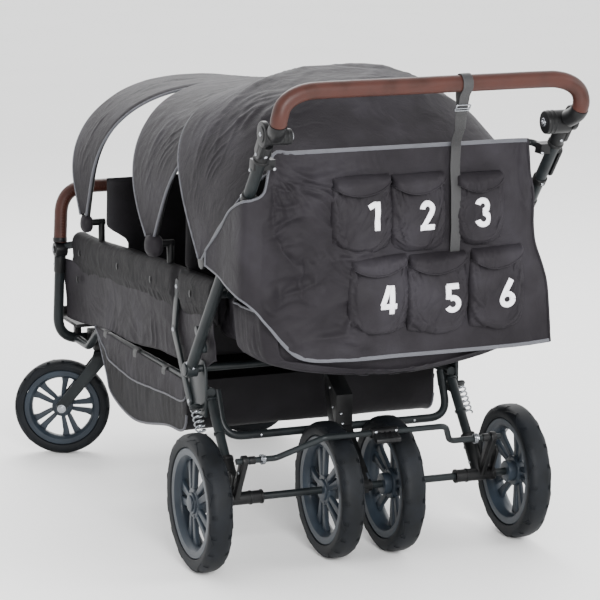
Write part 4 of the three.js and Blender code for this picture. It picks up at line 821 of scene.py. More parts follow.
def sidewall_marks(bm, radius, rim, width):
    """The moulded hooks that curl from each sidewall up on to the tread."""
    for side in (1, -1):
        for k in range(7):
            points = []
            for i in range(25):
                t = i / 24
                turn = 2 * pi * (k + side * 0.2 + 0.72 * t + 0.1 * sin(2 * pi * t)) / 7
                lean = 66 - 37 * sin(pi * min(t * 1.15, 1)) ** 0.8
                reach, across = tyre_skin(radius, rim, width, lean, 0.1)
                points.append(Vector((side * across, reach * cos(turn), reach * sin(turn))) * MM)
            sweep(bm, points, 1.1, 6)


def rim_mesh(bm, rim, width, steps, cap):
    """Moulded rim: a flared band, five pairs of domed spokes with a slot in each, and the hub."""
    wall = width * 0.8 / 2
    profile = [
        (rim * 0.79, -5), (rim * 0.8, -wall * 0.55), (rim * 0.87, -wall * 0.96), (rim * 0.93, -wall),
        (rim * 0.985, -wall),
        (rim, -wall * 0.94), (rim, wall * 0.94), (rim * 0.985, wall), (rim * 0.93, wall),
        (rim * 0.87, wall * 0.96),
        (rim * 0.8, wall * 0.55), (rim * 0.79, 5),
    ]
    spun(bm, profile, steps)
    hub = rim * 0.2
    rows = (
        (0.17, 6.0, 30.0), (0.34, 5.2, 24.5), (0.5, 4.6, 20.0), (0.66, 4.4, 17.5), (0.81, 4.6, 19.0)
    )
    for k in range(5):
        for side in (1, -1):
            outline = [(share, side * low) for share, low, _ in rows]
            outline += [(share, side * high) for share, _, high in reversed(rows)]
            verts = []
            for share, off in outline:
                turn = 2 * pi * (k + 0.5) / 5 + radians(off)
                r = rim * share * MM
                verts.append(
                    bm.verts.new(Vector(((7 - 12 * share) * MM, r * cos(turn), r * sin(turn))))
                )
            thicken(bm, verts, ACROSS * 10 * MM, 2.4)
    half = width * 0.36 * MM
    drum(bm, Vector((-half, 0, 0)), Vector((half, 0, 0)), hub, 40, 2)
    drum(bm, Vector((-4 * MM, 0, 0)), Vector((15 * MM, 0, 0)), hub * 1.4, 40, 3)
    for k in range(5):
        turn = 2 * pi * k / 5
        y, z = hub * 1.2 * MM * cos(turn), hub * 1.2 * MM * sin(turn)
        drum(bm, Vector((-5 * MM, y, z)), Vector((16.4 * MM, y, z)), 2.6, 12, 0.5)
    if cap:
        drum(bm, Vector((half - 2 * MM, 0, 0)), Vector((half + 4 * MM, 0, 0)), rim * 0.15, 32, 2)


def wheel_place(centre, turn=0.0, flip=False):
    matrix = Matrix.Translation(centre) @ Matrix.Rotation(turn, 4, "Z")
    return matrix @ Matrix.Rotation(pi, 4, "Z") if flip else matrix


class PUSHCHAIR_OT_wheels(bpy.types.Operator):
    """Six wheels: foam tyres on moulded rims with paired spokes"""
    bl_idname = "pushchair.wheels"
    bl_label = "Wheels"

    def execute(self, context):
        steps = context.scene.pushchair_frame.wheel_steps
        places = [
            (name, wheel_place(at(x, 0, AXLE_Z), flip=x < 0), AXLE_Z, 117, 54, "outer" in name)
            for name, x in WHEELS.items()
        ]
        for side, (x, turn) in CASTERS.items():
            angle = radians(turn)
            centre = at(
                x + CASTER_TRAIL * sin(angle), CASTER_Y + CASTER_TRAIL * cos(angle), CASTER_RADIUS
            )
            places.append((f"front_{side}", wheel_place(centre, -angle), CASTER_RADIUS, 92, 44, False))
        for name, matrix, radius, rim, width, cap in places:
            bm = bmesh.new()
            tyre_mesh(bm, radius, rim, width, steps)
            sidewall_marks(bm, radius, rim, width)
            bmesh.ops.transform(bm, matrix=matrix, verts=bm.verts)
            finish_piece(f"tyre-{name}", bm, RUBBER, f"wheel_{name}", f"tyre_{name}", angle=32)
            bm = bmesh.new()
            rim_mesh(bm, rim, width, steps, cap)
            bmesh.ops.transform(bm, matrix=matrix, verts=bm.verts)
            finish_piece(f"rim-{name}", bm, SLATE, f"wheel_{name}", f"rim_{name}", angle=34)
        return {"FINISHED"}


# Frame

def rail_points():
    corners = [
        at(RAIL_X, -1105.2, 275), at(RAIL_X, -1014, 275), at(RAIL_X, -930, 330), at(RAIL_X, -150, 345)
    ]
    return bent(corners, 52)


def rear_leg(name, sign, sides):
    bm = bmesh.new()
    sweep(bm, [on_leg(22), on_leg(120), on_leg(SPRING_HIGH)], 10.5, sides)
    drum(bm, on_leg(153), on_leg(SPRING_LOW), 13, 28, 0.8)
    finish_piece(f"leg-tube-{name}", bm, PAINTED, CHASSIS, f"rear_leg_{name}", sign=sign)
    bm = bmesh.new()
    across_drum(bm, RAIL_X - 59, RAIL_X + 35, 0, AXLE_Z, 14, 28, 1.4)
    for x0, x1 in ((-59, -54), (-34, -29), (26, 35)):
        across_drum(bm, RAIL_X + x0, RAIL_X + x1, 0, AXLE_Z, 15.4, 28, 0.8)
    drum(bm, on_leg(0), on_leg(96), 15, 28, 1.6)
    drum(bm, on_leg(88), on_leg(97), 16.2, 28, 1)
    for forward in (-9, -3, 3, 9):
        points = [on_leg(18, forward, RAIL_X + 13), on_leg(84, forward, RAIL_X + 13)]
        sweep(bm, points, 1.6, 8)
    plate(bm, bar_outline((0, AXLE_Z), (BRAKE_Y, BRAKE_Z), 24), RAIL_X - 3, RAIL_X + 9, 1.4)
    plate(bm, bar_outline((6, AXLE_Z + 10), (54, 236), 9), RAIL_X - 4.2, RAIL_X + 10.2, 1.0)
    finish_piece(f"leg-socket-{name}", bm, NYLON, sign=sign)
    bm = bmesh.new()
    rivet(bm, on_leg(30, 0, RAIL_X - 15), -ACROSS, 4.2)
    rivet(bm, on_leg(70, 10, RAIL_X - 11.5), -ACROSS, 3.6)
    rivet(bm, at(RAIL_X + 10.5, 44, 214), ACROSS, 3.6)
    finish_piece(f"leg-rivets-{name}", bm, ZINC, sign=sign)


def leg_spring(name, sign):
    turns, steps, wire = 6, 144, 1.9
    x = SPRING_X - 0.05
    low = on_leg(SPRING_LOW + wire + 0.3, SPRING_FORWARD, x)
    high = on_leg(SPRING_HIGH - wire - 0.3, SPRING_FORWARD, x)
    other = (high - low).normalized().cross(ACROSS)
    points = []
    for i in range(steps + 1):
        share = i / steps
        turn = 2 * pi * turns * share
        points.append(low.lerp(high, share) + (ACROSS * cos(turn) + other * sin(turn)) * 10 * MM)
    bm = bmesh.new()
    sweep(bm, points, wire, 12)
    finish_piece(f"spring-{name}", bm, ZINC, CHASSIS, f"spring_{name}", angle=60, sign=sign)


def rear_cross_tube(sides):
    end = RAIL_X - TUBE_RADIUS - 9.3
    bm = bmesh.new()
    corners = [at(end, -168, 345), at(end, -125, 250), at(-end, -125, 250), at(-end, -168, 345)]
    sweep(bm, bent(corners, 46, 12), 9, sides)
    finish_piece("cross-tube", bm, PAINTED, CHASSIS, "rear_cross_tube")
    bm = bmesh.new()
    for sign in (1, -1):
        rivet(bm, at(sign * 70, -116, 250), REARWARD, 3.6)
        rivet(bm, at(sign * 180, -116, 250), REARWARD, 3.2)
    finish_piece("cross-tube-rivets", bm, ZINC)


def centre_leg():
    bm = bmesh.new()
    plate(
        bm,
        [
            (-12, 133), (12, 133), (12, 161), (-92, 250), (-152, 397), (-164, 409), (-176, 397),
            (-134, 250)
        ],
        -17, 17, 1.6
    )
    plate(bm, [(-2, 182), (4, 176), (-90, 262), (-100, 262)], -18.6, 18.6, 0.8)
    plate(bm, [(-96, 262), (-86, 262), (-84, 330), (-150, 372)], -19, 19, 1.0)
    across_drum(bm, -26, 26, 0, AXLE_Z, 13, 28, 1.4)
    across_drum(bm, -20, 20, -100, 250, 15, 28, 1.4)
    finish_piece("centre-leg", bm, NYLON, CHASSIS, "centre_leg")
    bm = bmesh.new()
    for x in (-19, 19):
        for y, z in ((-122, 340), (-105, 300), (-60, 224), (-16, 178)):
            rivet(bm, at(x, y, z), Vector((copysign(1, x), 0, 0)), 3.6)
    for y, z in ((-80, 290), (-72, 270), (-60, 250)):
        rivet(bm, at(10, y, z), Vector((0, 0.8, 0.6)), 3.4)
    finish_piece("centre-leg-rivets", bm, ZINC)


def caster_fork(name):
    x, turn = CASTERS[name]
    matrix = Matrix.Translation(at(x, CASTER_Y, 0)) @ Matrix.Rotation(-radians(turn), 4, "Z")
    matrix = matrix @ Matrix.Translation(-at(0, 0, 0))
    bm = bmesh.new()
    arm_in, thick = 26, 6
    outline = [
        (20, 257), (-20, 257), (-20, 243), (87, 116), (91, 107), (100, 103), (109, 107), (113, 116),
        (112, 126), (26, 236)
    ]
    plate(bm, outline, arm_in, arm_in + thick, 1.6)
    plate(bm, outline, -arm_in - thick, -arm_in, 1.6)
    plate(bm, [(-20, 243), (20, 243), (20, 257), (-20, 257)], -arm_in - thick, arm_in + thick, 2.2)
    drum(bm, at(0, 0, 256), at(0, 0, 258.4), 22, 32, 0.8)
    across_drum(bm, -38, 38, CASTER_TRAIL, CASTER_RADIUS, 6, 20, 0.8)
    bmesh.ops.transform(bm, matrix=matrix, verts=bm.verts)
    finish_piece(f"fork-{name}", bm, PAINTED, f"caster_{name}", f"caster_fork_{name}")
    bm = bmesh.new()
    for end in (-1, 1):
        across_drum(bm, end * 32, end * 38.5, CASTER_TRAIL, CASTER_RADIUS, 8.5, 6, 0.8)
        across_drum(bm, end * 32, end * 33.4, CASTER_TRAIL, CASTER_RADIUS, 10.5, 28, 0.4)
    bmesh.ops.transform(bm, matrix=matrix, verts=bm.verts)
    finish_piece(f"fork-nuts-{name}", bm, ZINC, f"caster_{name}")


class PUSHCHAIR_OT_running_gear(bpy.types.Operator):
    """Axle, rear legs with their sockets and springs, cross tube, centre leg and casters"""
    bl_idname = "pushchair.running_gear"
    bl_label = "Running gear"

    def execute(self, context):
        sides = context.scene.pushchair_frame.tube_sides
        bm = bmesh.new()
        across_drum(bm, -379.9, 379.9, 0, AXLE_Z, 8, sides, 1)
        finish_piece("axle", bm, PAINTED, CHASSIS, "rear_axle")
        for name, sign in SIDES:
            rear_leg(name, sign, sides)
            leg_spring(name, sign)
            caster_fork(name)
        rear_cross_tube(sides)
        centre_leg()
        return {"FINISHED"}


def front_frame(sides):
    corners = [
        at(POST_X, FRONT_Y, KNUCKLE_Z), at(POST_X, -1118, 275), at(-POST_X, -1118, 275),
        at(-POST_X, FRONT_Y, KNUCKLE_Z)
    ]
    bm = bmesh.new()
    sweep(bm, bent(corners, 62, 14), POST_RADIUS, sides)
    finish_piece("front-frame", bm, PAINTED, CHASSIS, "front_frame")
    bm = bmesh.new()
    for end in (1, -1):
        across_drum(bm, end * 315, end * 345, FRONT_Y, KNUCKLE_Z, 18, 36, 2.2)
        across_drum(bm, end * 345, end * 348, FRONT_Y, KNUCKLE_Z, 9, 28, 1.0)
        drum(bm, at(end * POST_X, -1087, 489), at(end * POST_X, -1092.5, 448), 14.4, 28, 1.4)
    finish_piece("front-knuckles", bm, NYLON)
    bm = bmesh.new()
    for end in (1, -1):
        rivet(bm, at(end * 348, FRONT_Y, KNUCKLE_Z), ACROSS * end, 4)
        rivet(bm, at(end * 344.5, -1090, 468), ACROSS * end, 3.4)
    finish_piece("front-rivets", bm, ZINC)
    bm = bmesh.new()
    half = POST_X - POST_RADIUS - 16
    outline = [
        (-1195, 342), (-1195, 326), (-1191, 318), (-1175, 314), (-1055, 314), (-1055, 322),
        (-1172, 322), (-1185, 326), (-1187.5, 334), (-1187.5, 342)
    ]
    plate(bm, outline, -half, half, 1.6)
    for x in range(-270, 271, 30):
        plate(bm, [(-1160, 321), (-1070, 321), (-1070, 323.6), (-1160, 323.6)], x - 4, x + 4, 0.8)
    for end in (1, -1):
        plate(
            bm, [(-1126, 288), (-1110, 288), (-1110, 316), (-1126, 316)], end * (half - 22) - 8,
            end * (half - 22) + 8, 1
        )
    finish_piece("footrest-board", bm, NYLON, CHASSIS, "footrest")


def swivel_housings():
    for name, (x, _) in CASTERS.items():
        bm = bmesh.new()
        bottom = 258
        drum(bm, at(x, CASTER_Y, bottom), at(x, CASTER_Y, bottom + 46), 24, 40, 2.2)
        drum(bm, at(x, CASTER_Y, bottom + 46), at(x, CASTER_Y, bottom + 51), 17, 40, 2, 14)
        drum(bm, at(x, CASTER_Y, bottom + 10), at(x, CASTER_Y, bottom + 18), 25.2, 40, 1)
        verts = []
        for ox, oy in ((-22, -1104), (22, -1104), (21, -1050), (-21, -1050)):
            verts.append(bm.verts.new(at(x + ox, oy, bottom + 2)))
        thicken(bm, verts, UP * 42 * MM, 3, upright=True)
        finish_piece(f"swivel-{name}", bm, NYLON, CHASSIS, f"swivel_housing_{name}")


def frame_side(name, sign, sides):
    bm = bmesh.new()
    sweep(bm, rail_points(), TUBE_RADIUS, sides)
    plate(
        bm,
        [
            (-250, 319), (-241, 292), (-146, 292), (-146, 397), (-155, 415), (-173, 415), (-223, 399),
            (-237, 385)
        ],
        292, 299, 1
    )
    drum(bm, on_leg(SPRING_HIGH), on_leg(237), 13, 24, 0.8)
    seat = [on_leg(along, SPRING_FORWARD, SPRING_X) for along in (SPRING_HIGH, 234.5, 237)]
    drum(bm, seat[0], seat[2], 13, 28, 0.8)
    sweep(bm, [on_leg(234.5, SPRING_FORWARD, 292), seat[1]], 4, 12)
    finish_piece(f"lower-rail-{name}", bm, PAINTED, CHASSIS, f"lower_rail_{name}", sign=sign)

    bm = bmesh.new()
    corners = [
        at(323.7, FRONT_Y, 511), at(SIDE_RAIL_X, -1045, 524), at(SIDE_RAIL_X, -520, 560),
        at(SIDE_RAIL_X, -8, 585)
    ]
    sweep(bm, bent(corners, 30), 9, sides)
    sweep(bm, [at(SIDE_RAIL_X, -17, 585), at(311.2, -17, 585)], 8, sides)
    sweep(bm, [at(SIDE_RAIL_X, -56, rail_height(-56)), at(SIDE_RAIL_X, -56, 652)], 7.4, sides)
    sweep(bm, [at(SIDE_RAIL_X - 8, -56, 652), at(311.2, -56, 652)], 7.4, sides)
    finish_piece(f"side-rail-{name}", bm, PAINTED, CHASSIS, f"side_rail_{name}", sign=sign)

    x0 = 299.3
    bm = bmesh.new()
    top_z = rail_height(-300)
    plate(bm, bar_outline((-304, top_z - 14), (-330, 450), 24), x0, x0 + 6, 1)
    plate(bm, bar_outline((-330, 450), (-232, 310), 24), x0 + 0.2, x0 + 6.2, 1)
    finish_piece(f"strut-{name}", bm, PAINTED, CHASSIS, f"side_strut_{name}", sign=sign)
    bm = bmesh.new()
    plate(bm, bar_outline((-223, 385), (-155, 482), 19), x0, x0 + 5, 1)
    finish_piece(
        f"fold-link-{name}", bm, PAINTED, f"fold_link_{name}_body", f"fold_link_{name}", sign=sign
    )
    bm = bmesh.new()
    for y, z in ((-330, 450), (-232, 310), (-306, top_z - 20)):
        rivet(bm, at(x0 + 6.2, y, z), ACROSS, 5)
    finish_piece(f"strut-rivets-{name}", bm, ZINC, sign=sign)
    bm = bmesh.new()
    rivet(bm, at(x0 + 5, -223, 385), ACROSS, 4.4)
    finish_piece(f"link-rivet-{name}", bm, ZINC, f"fold_link_{name}_body", sign=sign)


class PUSHCHAIR_OT_frame(bpy.types.Operator):
    """Front frame, rails, side plates, struts, links and the pivot shaft"""
    bl_idname = "pushchair.frame"
    bl_label = "Frame"

    def execute(self, context):
        sides = context.scene.pushchair_frame.tube_sides
        front_frame(sides)
        swivel_housings()
        for name, sign in SIDES:
            frame_side(name, sign, sides)
        bm = bmesh.new()
        across_drum(bm, -336.8, 336.8, PIVOT_Y, PIVOT_Z, 8, 28, 0.8)
        for end in (1, -1):
            across_drum(bm, end * 336.8, end * 339.8, PIVOT_Y, PIVOT_Z, 14, 28, 1.2)
        finish_piece("pivot-shaft", bm, PAINTED, CHASSIS, "pivot_shaft", slot="steel")
        return {"FINISHED"}


class PUSHCHAIR_OT_brake(bpy.types.Operator):
    """Brake bar with its raised middle, pedal block, end clips and their coils"""
    bl_idname = "pushchair.brake"
    bl_label = "Brake"

    def execute(self, context):
        sides = context.scene.pushchair_frame.tube_sides
        corners = [
            at(304, BRAKE_Y, BRAKE_Z), at(215, BRAKE_Y, BRAKE_Z), at(120, PEDAL_Y, PEDAL_Z),
            at(-158, PEDAL_Y, PEDAL_Z), at(-184, BRAKE_Y, BRAKE_Z), at(-304, BRAKE_Y, BRAKE_Z)
        ]
        bm = bmesh.new()
        sweep(bm, bent(corners, 24, 12), 6.5, sides)
        finish_piece("brake-bar", bm, PAINTED, "brake", "brake_bar")
        bm = bmesh.new()
        across_drum(bm, -44, 16, PEDAL_Y, PEDAL_Z, 11.5, 28, 1.6)
        plate(bm, bar_outline((PEDAL_Y, PEDAL_Z), (121, 275), 13), -42, 14, 2)
        for x in (-36, -24, -12, 0):
            plate(bm, bar_outline((104, 290), (120, 281), 4), x - 2, x + 2, 0.8)
        for end in (1, -1):
            across_drum(bm, end * 262, end * 276, BRAKE_Y, BRAKE_Z, 8.8, 28, 1)
        finish_piece("brake-pedal", bm, NYLON, "brake")
        bm = bmesh.new()
        for x in (8, -38):
            rivet(bm, at(x, 107.5, 291), Vector((0, 1, 0.3)), 3.4)
        for end in (1, -1):
            points = []
            for k in range(50):
                share = k / 49
                turn = 2 * pi * share * 3.2
                points.append(
                    at(end * (250 - 9 * share), BRAKE_Y + 10 * cos(turn), BRAKE_Z + 10 * sin(turn))
                )
            sweep(bm, points, 1.2, 8)
        finish_piece("brake-clips", bm, ZINC, "brake")
        return {"FINISHED"}


class PUSHCHAIR_OT_bumper(bpy.types.Operator):
    """The padded bow across the front"""
    bl_idname = "pushchair.bumper"
    bl_label = "Bumper bar"

    def execute(self, context):
        foot = KNUCKLE_Z + 18.3
        corners = [
            at(POST_X, FRONT_Y, foot), at(323, -1088, 655), at(-323, -1088, 655),
            at(-POST_X, FRONT_Y, foot)
        ]
        points = bent(corners, 92, 18)
        bm = bmesh.new()
        sweep(bm, points, 16, 32)
        finish_piece("bumper-cover", bm, LEATHER, "bumper", "bumper_bar")
        bm = bmesh.new()
        for end in (1, -1):
            drum(bm, at(end * POST_X, FRONT_Y, foot), at(end * POST_X, -1086, foot + 11), 17.2, 32, 1.4)
        finish_piece("bumper-feet", bm, NYLON, "bumper")
        stitch_run("bumper-stitches", points, 16.3, REARWARD, "bumper")
        return {"FINISHED"}


def stitch_run(name, points, reach, outward, body):
    """A seam of short stitches along a covered bar, on the side that outward names."""
    steady = resample(points, int(run_length(points) / (7 * MM)))
    frames = carried_frames(steady)
    bm = bmesh.new()
    for i in range(2, len(steady) - 2):
        tangent = Vector((frames[i][0][2], frames[i][1][2], frames[i][2][2]))
        out = (outward - tangent * outward.dot(tangent)).normalized()
        side = tangent.cross(out).normalized()
        middle = steady[i] + out * reach * MM
        for lean in (1, -1):
            a = middle + side * lean * 2.6 * MM - tangent * 1.4 * MM
            b = middle + side * lean * 0.4 * MM + tangent * 1.4 * MM
            sweep(bm, [a, b], 0.45, 5)
    finish_piece(name, bm, BROWN_THREAD, body)


# Handle

def handle_tube(name, sign, sides):
    bm = bmesh.new()
    sweep(bm, [on_handle(0), on_handle(TUBE_END / 2), on_handle(TUBE_END - 0.3)], 12.5, sides)
    across_drum(bm, 311.5, 336.5, PIVOT_Y, PIVOT_Z, 17, 32, 1.4)
    root_y = PIVOT_Y + 68 * cos(SLOPE)
    root_z = PIVOT_Z + 68 * sin(SLOPE)
    plate(bm, bar_outline((root_y, root_z), (-155, 482), 19), 304.6, 315, 1)
    finish_piece(f"handle-tube-{name}", bm, PAINTED, "handle_frame", f"handle_tube_{name}", sign=sign)
    bm = bmesh.new()
    drum(bm, on_handle(544), on_handle(560), 15.4, 32, 1.2)
    drum(bm, on_handle(470), on_handle(492), 14.6, 32, 1.2)
    finish_piece(f"handle-collars-{name}", bm, NYLON, "handle_frame", sign=sign)
    bm = bmesh.new()
    for along, radius in ((552, 15.4), (481, 14.6), (16, 12.6)):
        rivet(bm, on_handle(along, radius * 0.3, HANDLE_X + radius * 0.93), ACROSS, 3.6)
        rivet(bm, on_handle(along, -radius), Vector((0, sin(SLOPE), -cos(SLOPE))), 3.6)
    finish_piece(f"handle-rivets-{name}", bm, ZINC, "handle_frame", sign=sign)


def ratchet_hub(name, sign):
    disc_y, disc_z = HUB_Y + 7, HUB_Z + 8
    inner = 16 if sign > 0 else 24
    bm = bmesh.new()
    across_drum(bm, 330.3, 342, disc_y, disc_z, 26, 44, 2.6)
    across_drum(bm, 341, 344, disc_y, disc_z, 17, 36, 1.4)
    drum(bm, on_handle(TUBE_END), on_handle(HANDLE_LENGTH - 20), 15.5, 32, 2)
    drum(bm, on_handle(TUBE_END), on_handle(HANDLE_LENGTH - 60), 17, 32, 1.4)
    near_y = PIVOT_Y + (HANDLE_LENGTH - 40) * cos(SLOPE)
    near_z = PIVOT_Z + (HANDLE_LENGTH - 40) * sin(SLOPE)
    plate(bm, bar_outline((near_y, near_z), (HUB_Y, HUB_Z), 31), 330.3, 339, 1.6)
    finish_piece(f"hub-housing-{name}", bm, NYLON, "handle_frame", f"ratchet_{name}", sign=sign)
    bm = bmesh.new()
    rivet(bm, at(344, disc_y, disc_z), ACROSS, 4.6)
    rivet(bm, at(339.5, near_y - 4, near_z - 6), ACROSS, 3.6)
    rivet(bm, on_handle(HANDLE_LENGTH - 42, -15.5), Vector((0, sin(SLOPE), -cos(SLOPE))), 3.8)
    finish_piece(f"hub-rivets-{name}", bm, ZINC, "handle_frame", sign=sign)
    bm = bmesh.new()
    across_drum(bm, 277, 329.9, HUB_Y, HUB_Z, inner, 40, 2.4)
    for x in (286, 295):
        across_drum(bm, x - 2, x + 2, HUB_Y, HUB_Z, inner + 0.8, 40, 0.8)
    finish_piece(f"hub-barrel-{name}", bm, NYLON, "handlebar", sign=sign)
    bm = bmesh.new()
    across_drum(bm, 273.5, 277.4, HUB_Y, HUB_Z, 9, 28, 1)
    rivet(bm, at(273.5, HUB_Y, HUB_Z), -ACROSS, 4.4)
    finish_piece(f"hub-button-{name}", bm, ZINC, "handlebar", sign=sign)


def handle_cross(sides):
    along = TUBE_END - 16
    seat_y = PIVOT_Y + along * cos(SLOPE)
    seat_z = PIVOT_Z + along * sin(SLOPE)
    end = 311.2
    corners = [
        at(end, seat_y, seat_z), at(end - 14, 204, 903), at(-end + 14, 204, 903),
        at(-end, seat_y, seat_z)
    ]
    bm = bmesh.new()
    sweep(bm, bent(corners, 14, 8), 7, sides)
    finish_piece("handle-cross-tube", bm, PAINTED, "handle_frame", "handle_cross_tube")
    clamps, rivets = bmesh.new(), bmesh.new()
    for end in (1, -1):
        plate(clamps, [(226, 884), (253, 884), (262, 906), (232, 908)], end * 292, end * 338, 2.4)
        rivet(rivets, at(end * 339, 236, 884), ACROSS * end, 3.4)
        rivet(rivets, at(end * 295, 259, 887), REARWARD, 3.6)
    finish_piece("handle-clamps", clamps, NYLON, "handle_frame")
    finish_piece("handle-clamp-rivets", rivets, ZINC, "handle_frame")


def release_lever():
    tip = (PIVOT_Y + 576 * cos(SLOPE), PIVOT_Z + 576 * sin(SLOPE))
    eye = (PIVOT_Y + 640 * cos(SLOPE), PIVOT_Z + 640 * sin(SLOPE))
    bm = bmesh.new()
    plate(bm, bar_outline(eye, tip, 20), -343.8, -336.9, 1.8)
    across_drum(bm, -345.4, -336.9, eye[0], eye[1], 7, 28, 1)
    finish_piece("release-lever", bm, NYLON, "release_lever", "fold_release_lever")
    bm = bmesh.new()
    middle = (eye[0] * 0.62 + tip[0] * 0.38, eye[1] * 0.62 + tip[1] * 0.38)
    plate(
        bm, bar_outline((middle[0] - 5, middle[1] - 6), (middle[0] + 5, middle[1] + 6), 9), -345.2,
        -343.2, 0.8
    )
    finish_piece("release-catch", bm, RED_NYLON, "release_lever")


def handlebar():
    half = (
        (313, HUB_Y, HUB_Z), (321, 331, 969), (325.5, 355, 983), (326.5, 367, 1004), (319, 369.5, 1027),
        (300, 370, 1043), (272, 369.5, 1052), (235, 369, 1054), (110, 369, 1054)
    )
    whole = [at(*p) for p in half]
    core = smooth_run([*whole, *mirrored_points(reversed(whole))], 10)
    bm = bmesh.new()
    sweep(bm, core, 12.5, 24)
    finish_piece("handlebar-core", bm, NYLON, "handlebar", "handlebar_core")
    grip = [p for p in core if p.z > 0.99]
    low = [p for p in core if 0.966 < p.z < 0.991]
    bm = bmesh.new()
    sweep(bm, grip, 17, 40)
    finish_piece("handlebar-grip", bm, LEATHER, "handlebar", "handlebar_grip")
    bm = bmesh.new()
    for run in ([p for p in low if p.x > CENTRE_X], [p for p in low if p.x < CENTRE_X]):
        sweep(bm, run, 18.2, 32)
    finish_piece("grip-sockets", bm, NYLON, "handlebar")
    stitch_run("grip-stitches", grip, 17.2, Vector((0, -0.35, -1)), "handlebar")


class PUSHCHAIR_OT_handle(bpy.types.Operator):
    """Handle tubes, ratchet hubs, cross tube, release lever, and the covered handlebar"""
    bl_idname = "pushchair.handle"
    bl_label = "Handle"

    def execute(self, context):
        sides = context.scene.pushchair_frame.tube_sides
        for name, sign in SIDES:
            handle_tube(name, sign, sides)
            ratchet_hub(name, sign)
        handle_cross(sides)
        release_lever()
        handlebar()
        return {"FINISHED"}


# Hoods

def hood_outline(hood, bow, grow, count, foot=30):
    """One section of a hood as even points, from its left foot over the top to its right."""
    pivot_y, pivot_z = hood["pivot"]
    rise = bow["height"] - bow["leg"]
    half = bow["half"] + grow
    flat = [(half, foot)]
    for k in range(97):
        turn = pi * k / 96
        across = powered(cos(turn), bow["round"]) if abs(cos(turn)) > 1e-9 else 0.0
        high = (rise + grow) * sin(turn) ** bow["round"] if sin(turn) > 0 else 0
        flat.append((half * across, bow["leg"] + high))
    flat.append((-half, foot))
    points = []
    for x, r in flat:
        share = min(abs(x) / bow["half"], 1) ** 12
        lean = radians(bow["lean"] + (bow.get("side", bow["lean"]) - bow["lean"]) * share)
        points.append(at(x, pivot_y - r * sin(lean), pivot_z + r * cos(lean)))
    return resample(points, count)


def hood_section(hood, share, over=2.5):
    """The section at a share of the way from the front bow to the rear one."""
    bows = [{"side": bow["lean"], **bow} for bow in hood["bows"]]
    spans = [a["lean"] - b["lean"] for a, b in zip(bows, bows[1:])]
    gone = share * (sum(spans) + 2 * over) - over
    edge = bows[0]
    if gone > 0:
        for a, b, span in zip(bows, bows[1:], spans):
            if gone <= span:
                t = gone / span
                taut = cos(radians(span / 2)) / cos(radians(span * (t - 0.5)))
                mixed = {key: a[key] + (b[key] - a[key]) * t for key in a}
                mixed["height"] *= taut
                mixed["leg"] *= taut
                return mixed
            gone -= span
        edge = bows[-1]
    return {**edge, "lean": edge["lean"] - gone, "side": edge["side"] - gone}


def hood_bows(name, hood):
    pivot_y, pivot_z = hood["pivot"]
    first, last = hood["bows"][0], hood["bows"][-1]
    bm = bmesh.new()
    sweep(bm, hood_outline(hood, first, 0, 90, 10), 4, 14)
    for end in (1, -1):
        across_drum(
            bm, end * (first["half"] - 4), end * (first["half"] + 3), pivot_y, pivot_z, 18, 36, 1.4
        )
        if name == "rear":
            across_drum(bm, end * 311.6, end * (first["half"] - 3), pivot_y, pivot_z, 8, 24, 0.8)
    finish_piece(f"{name}-hood-front-bow", bm, NYLON, f"{name}_bow", f"{name}_hood_bow")
    if name == "rear":
        return
    face = first["half"] - 4 - 0.3
    fixed = dict(last)
    fixed["half"] = face - 4
    bm = bmesh.new()
    sweep(bm, hood_outline(hood, fixed, 0, 90, 0), 4, 14)
    rail_z = rail_height(pivot_y)
    for end in (1, -1):
        across_drum(bm, end * (face - 7), end * face, pivot_y, pivot_z, 18, 36, 1.2)
        across_drum(bm, end * 282, end * face, pivot_y, pivot_z, 8, 24, 0.8)
        drum(
            bm, at(end * SIDE_RAIL_X, pivot_y, rail_z + 8), at(end * SIDE_RAIL_X, pivot_y, pivot_z + 4),
            8, 24, 0.8
        )
        drum(
            bm, at(end * SIDE_RAIL_X, pivot_y - 13, rail_height(pivot_y - 13)),
            at(end * SIDE_RAIL_X, pivot_y + 13, rail_height(pivot_y + 13)), 13.2, 28, 1.2
        )
    finish_piece(f"{name}-hood-rear-bow", bm, NYLON, CHASSIS, f"{name}_hood_rear_bow")


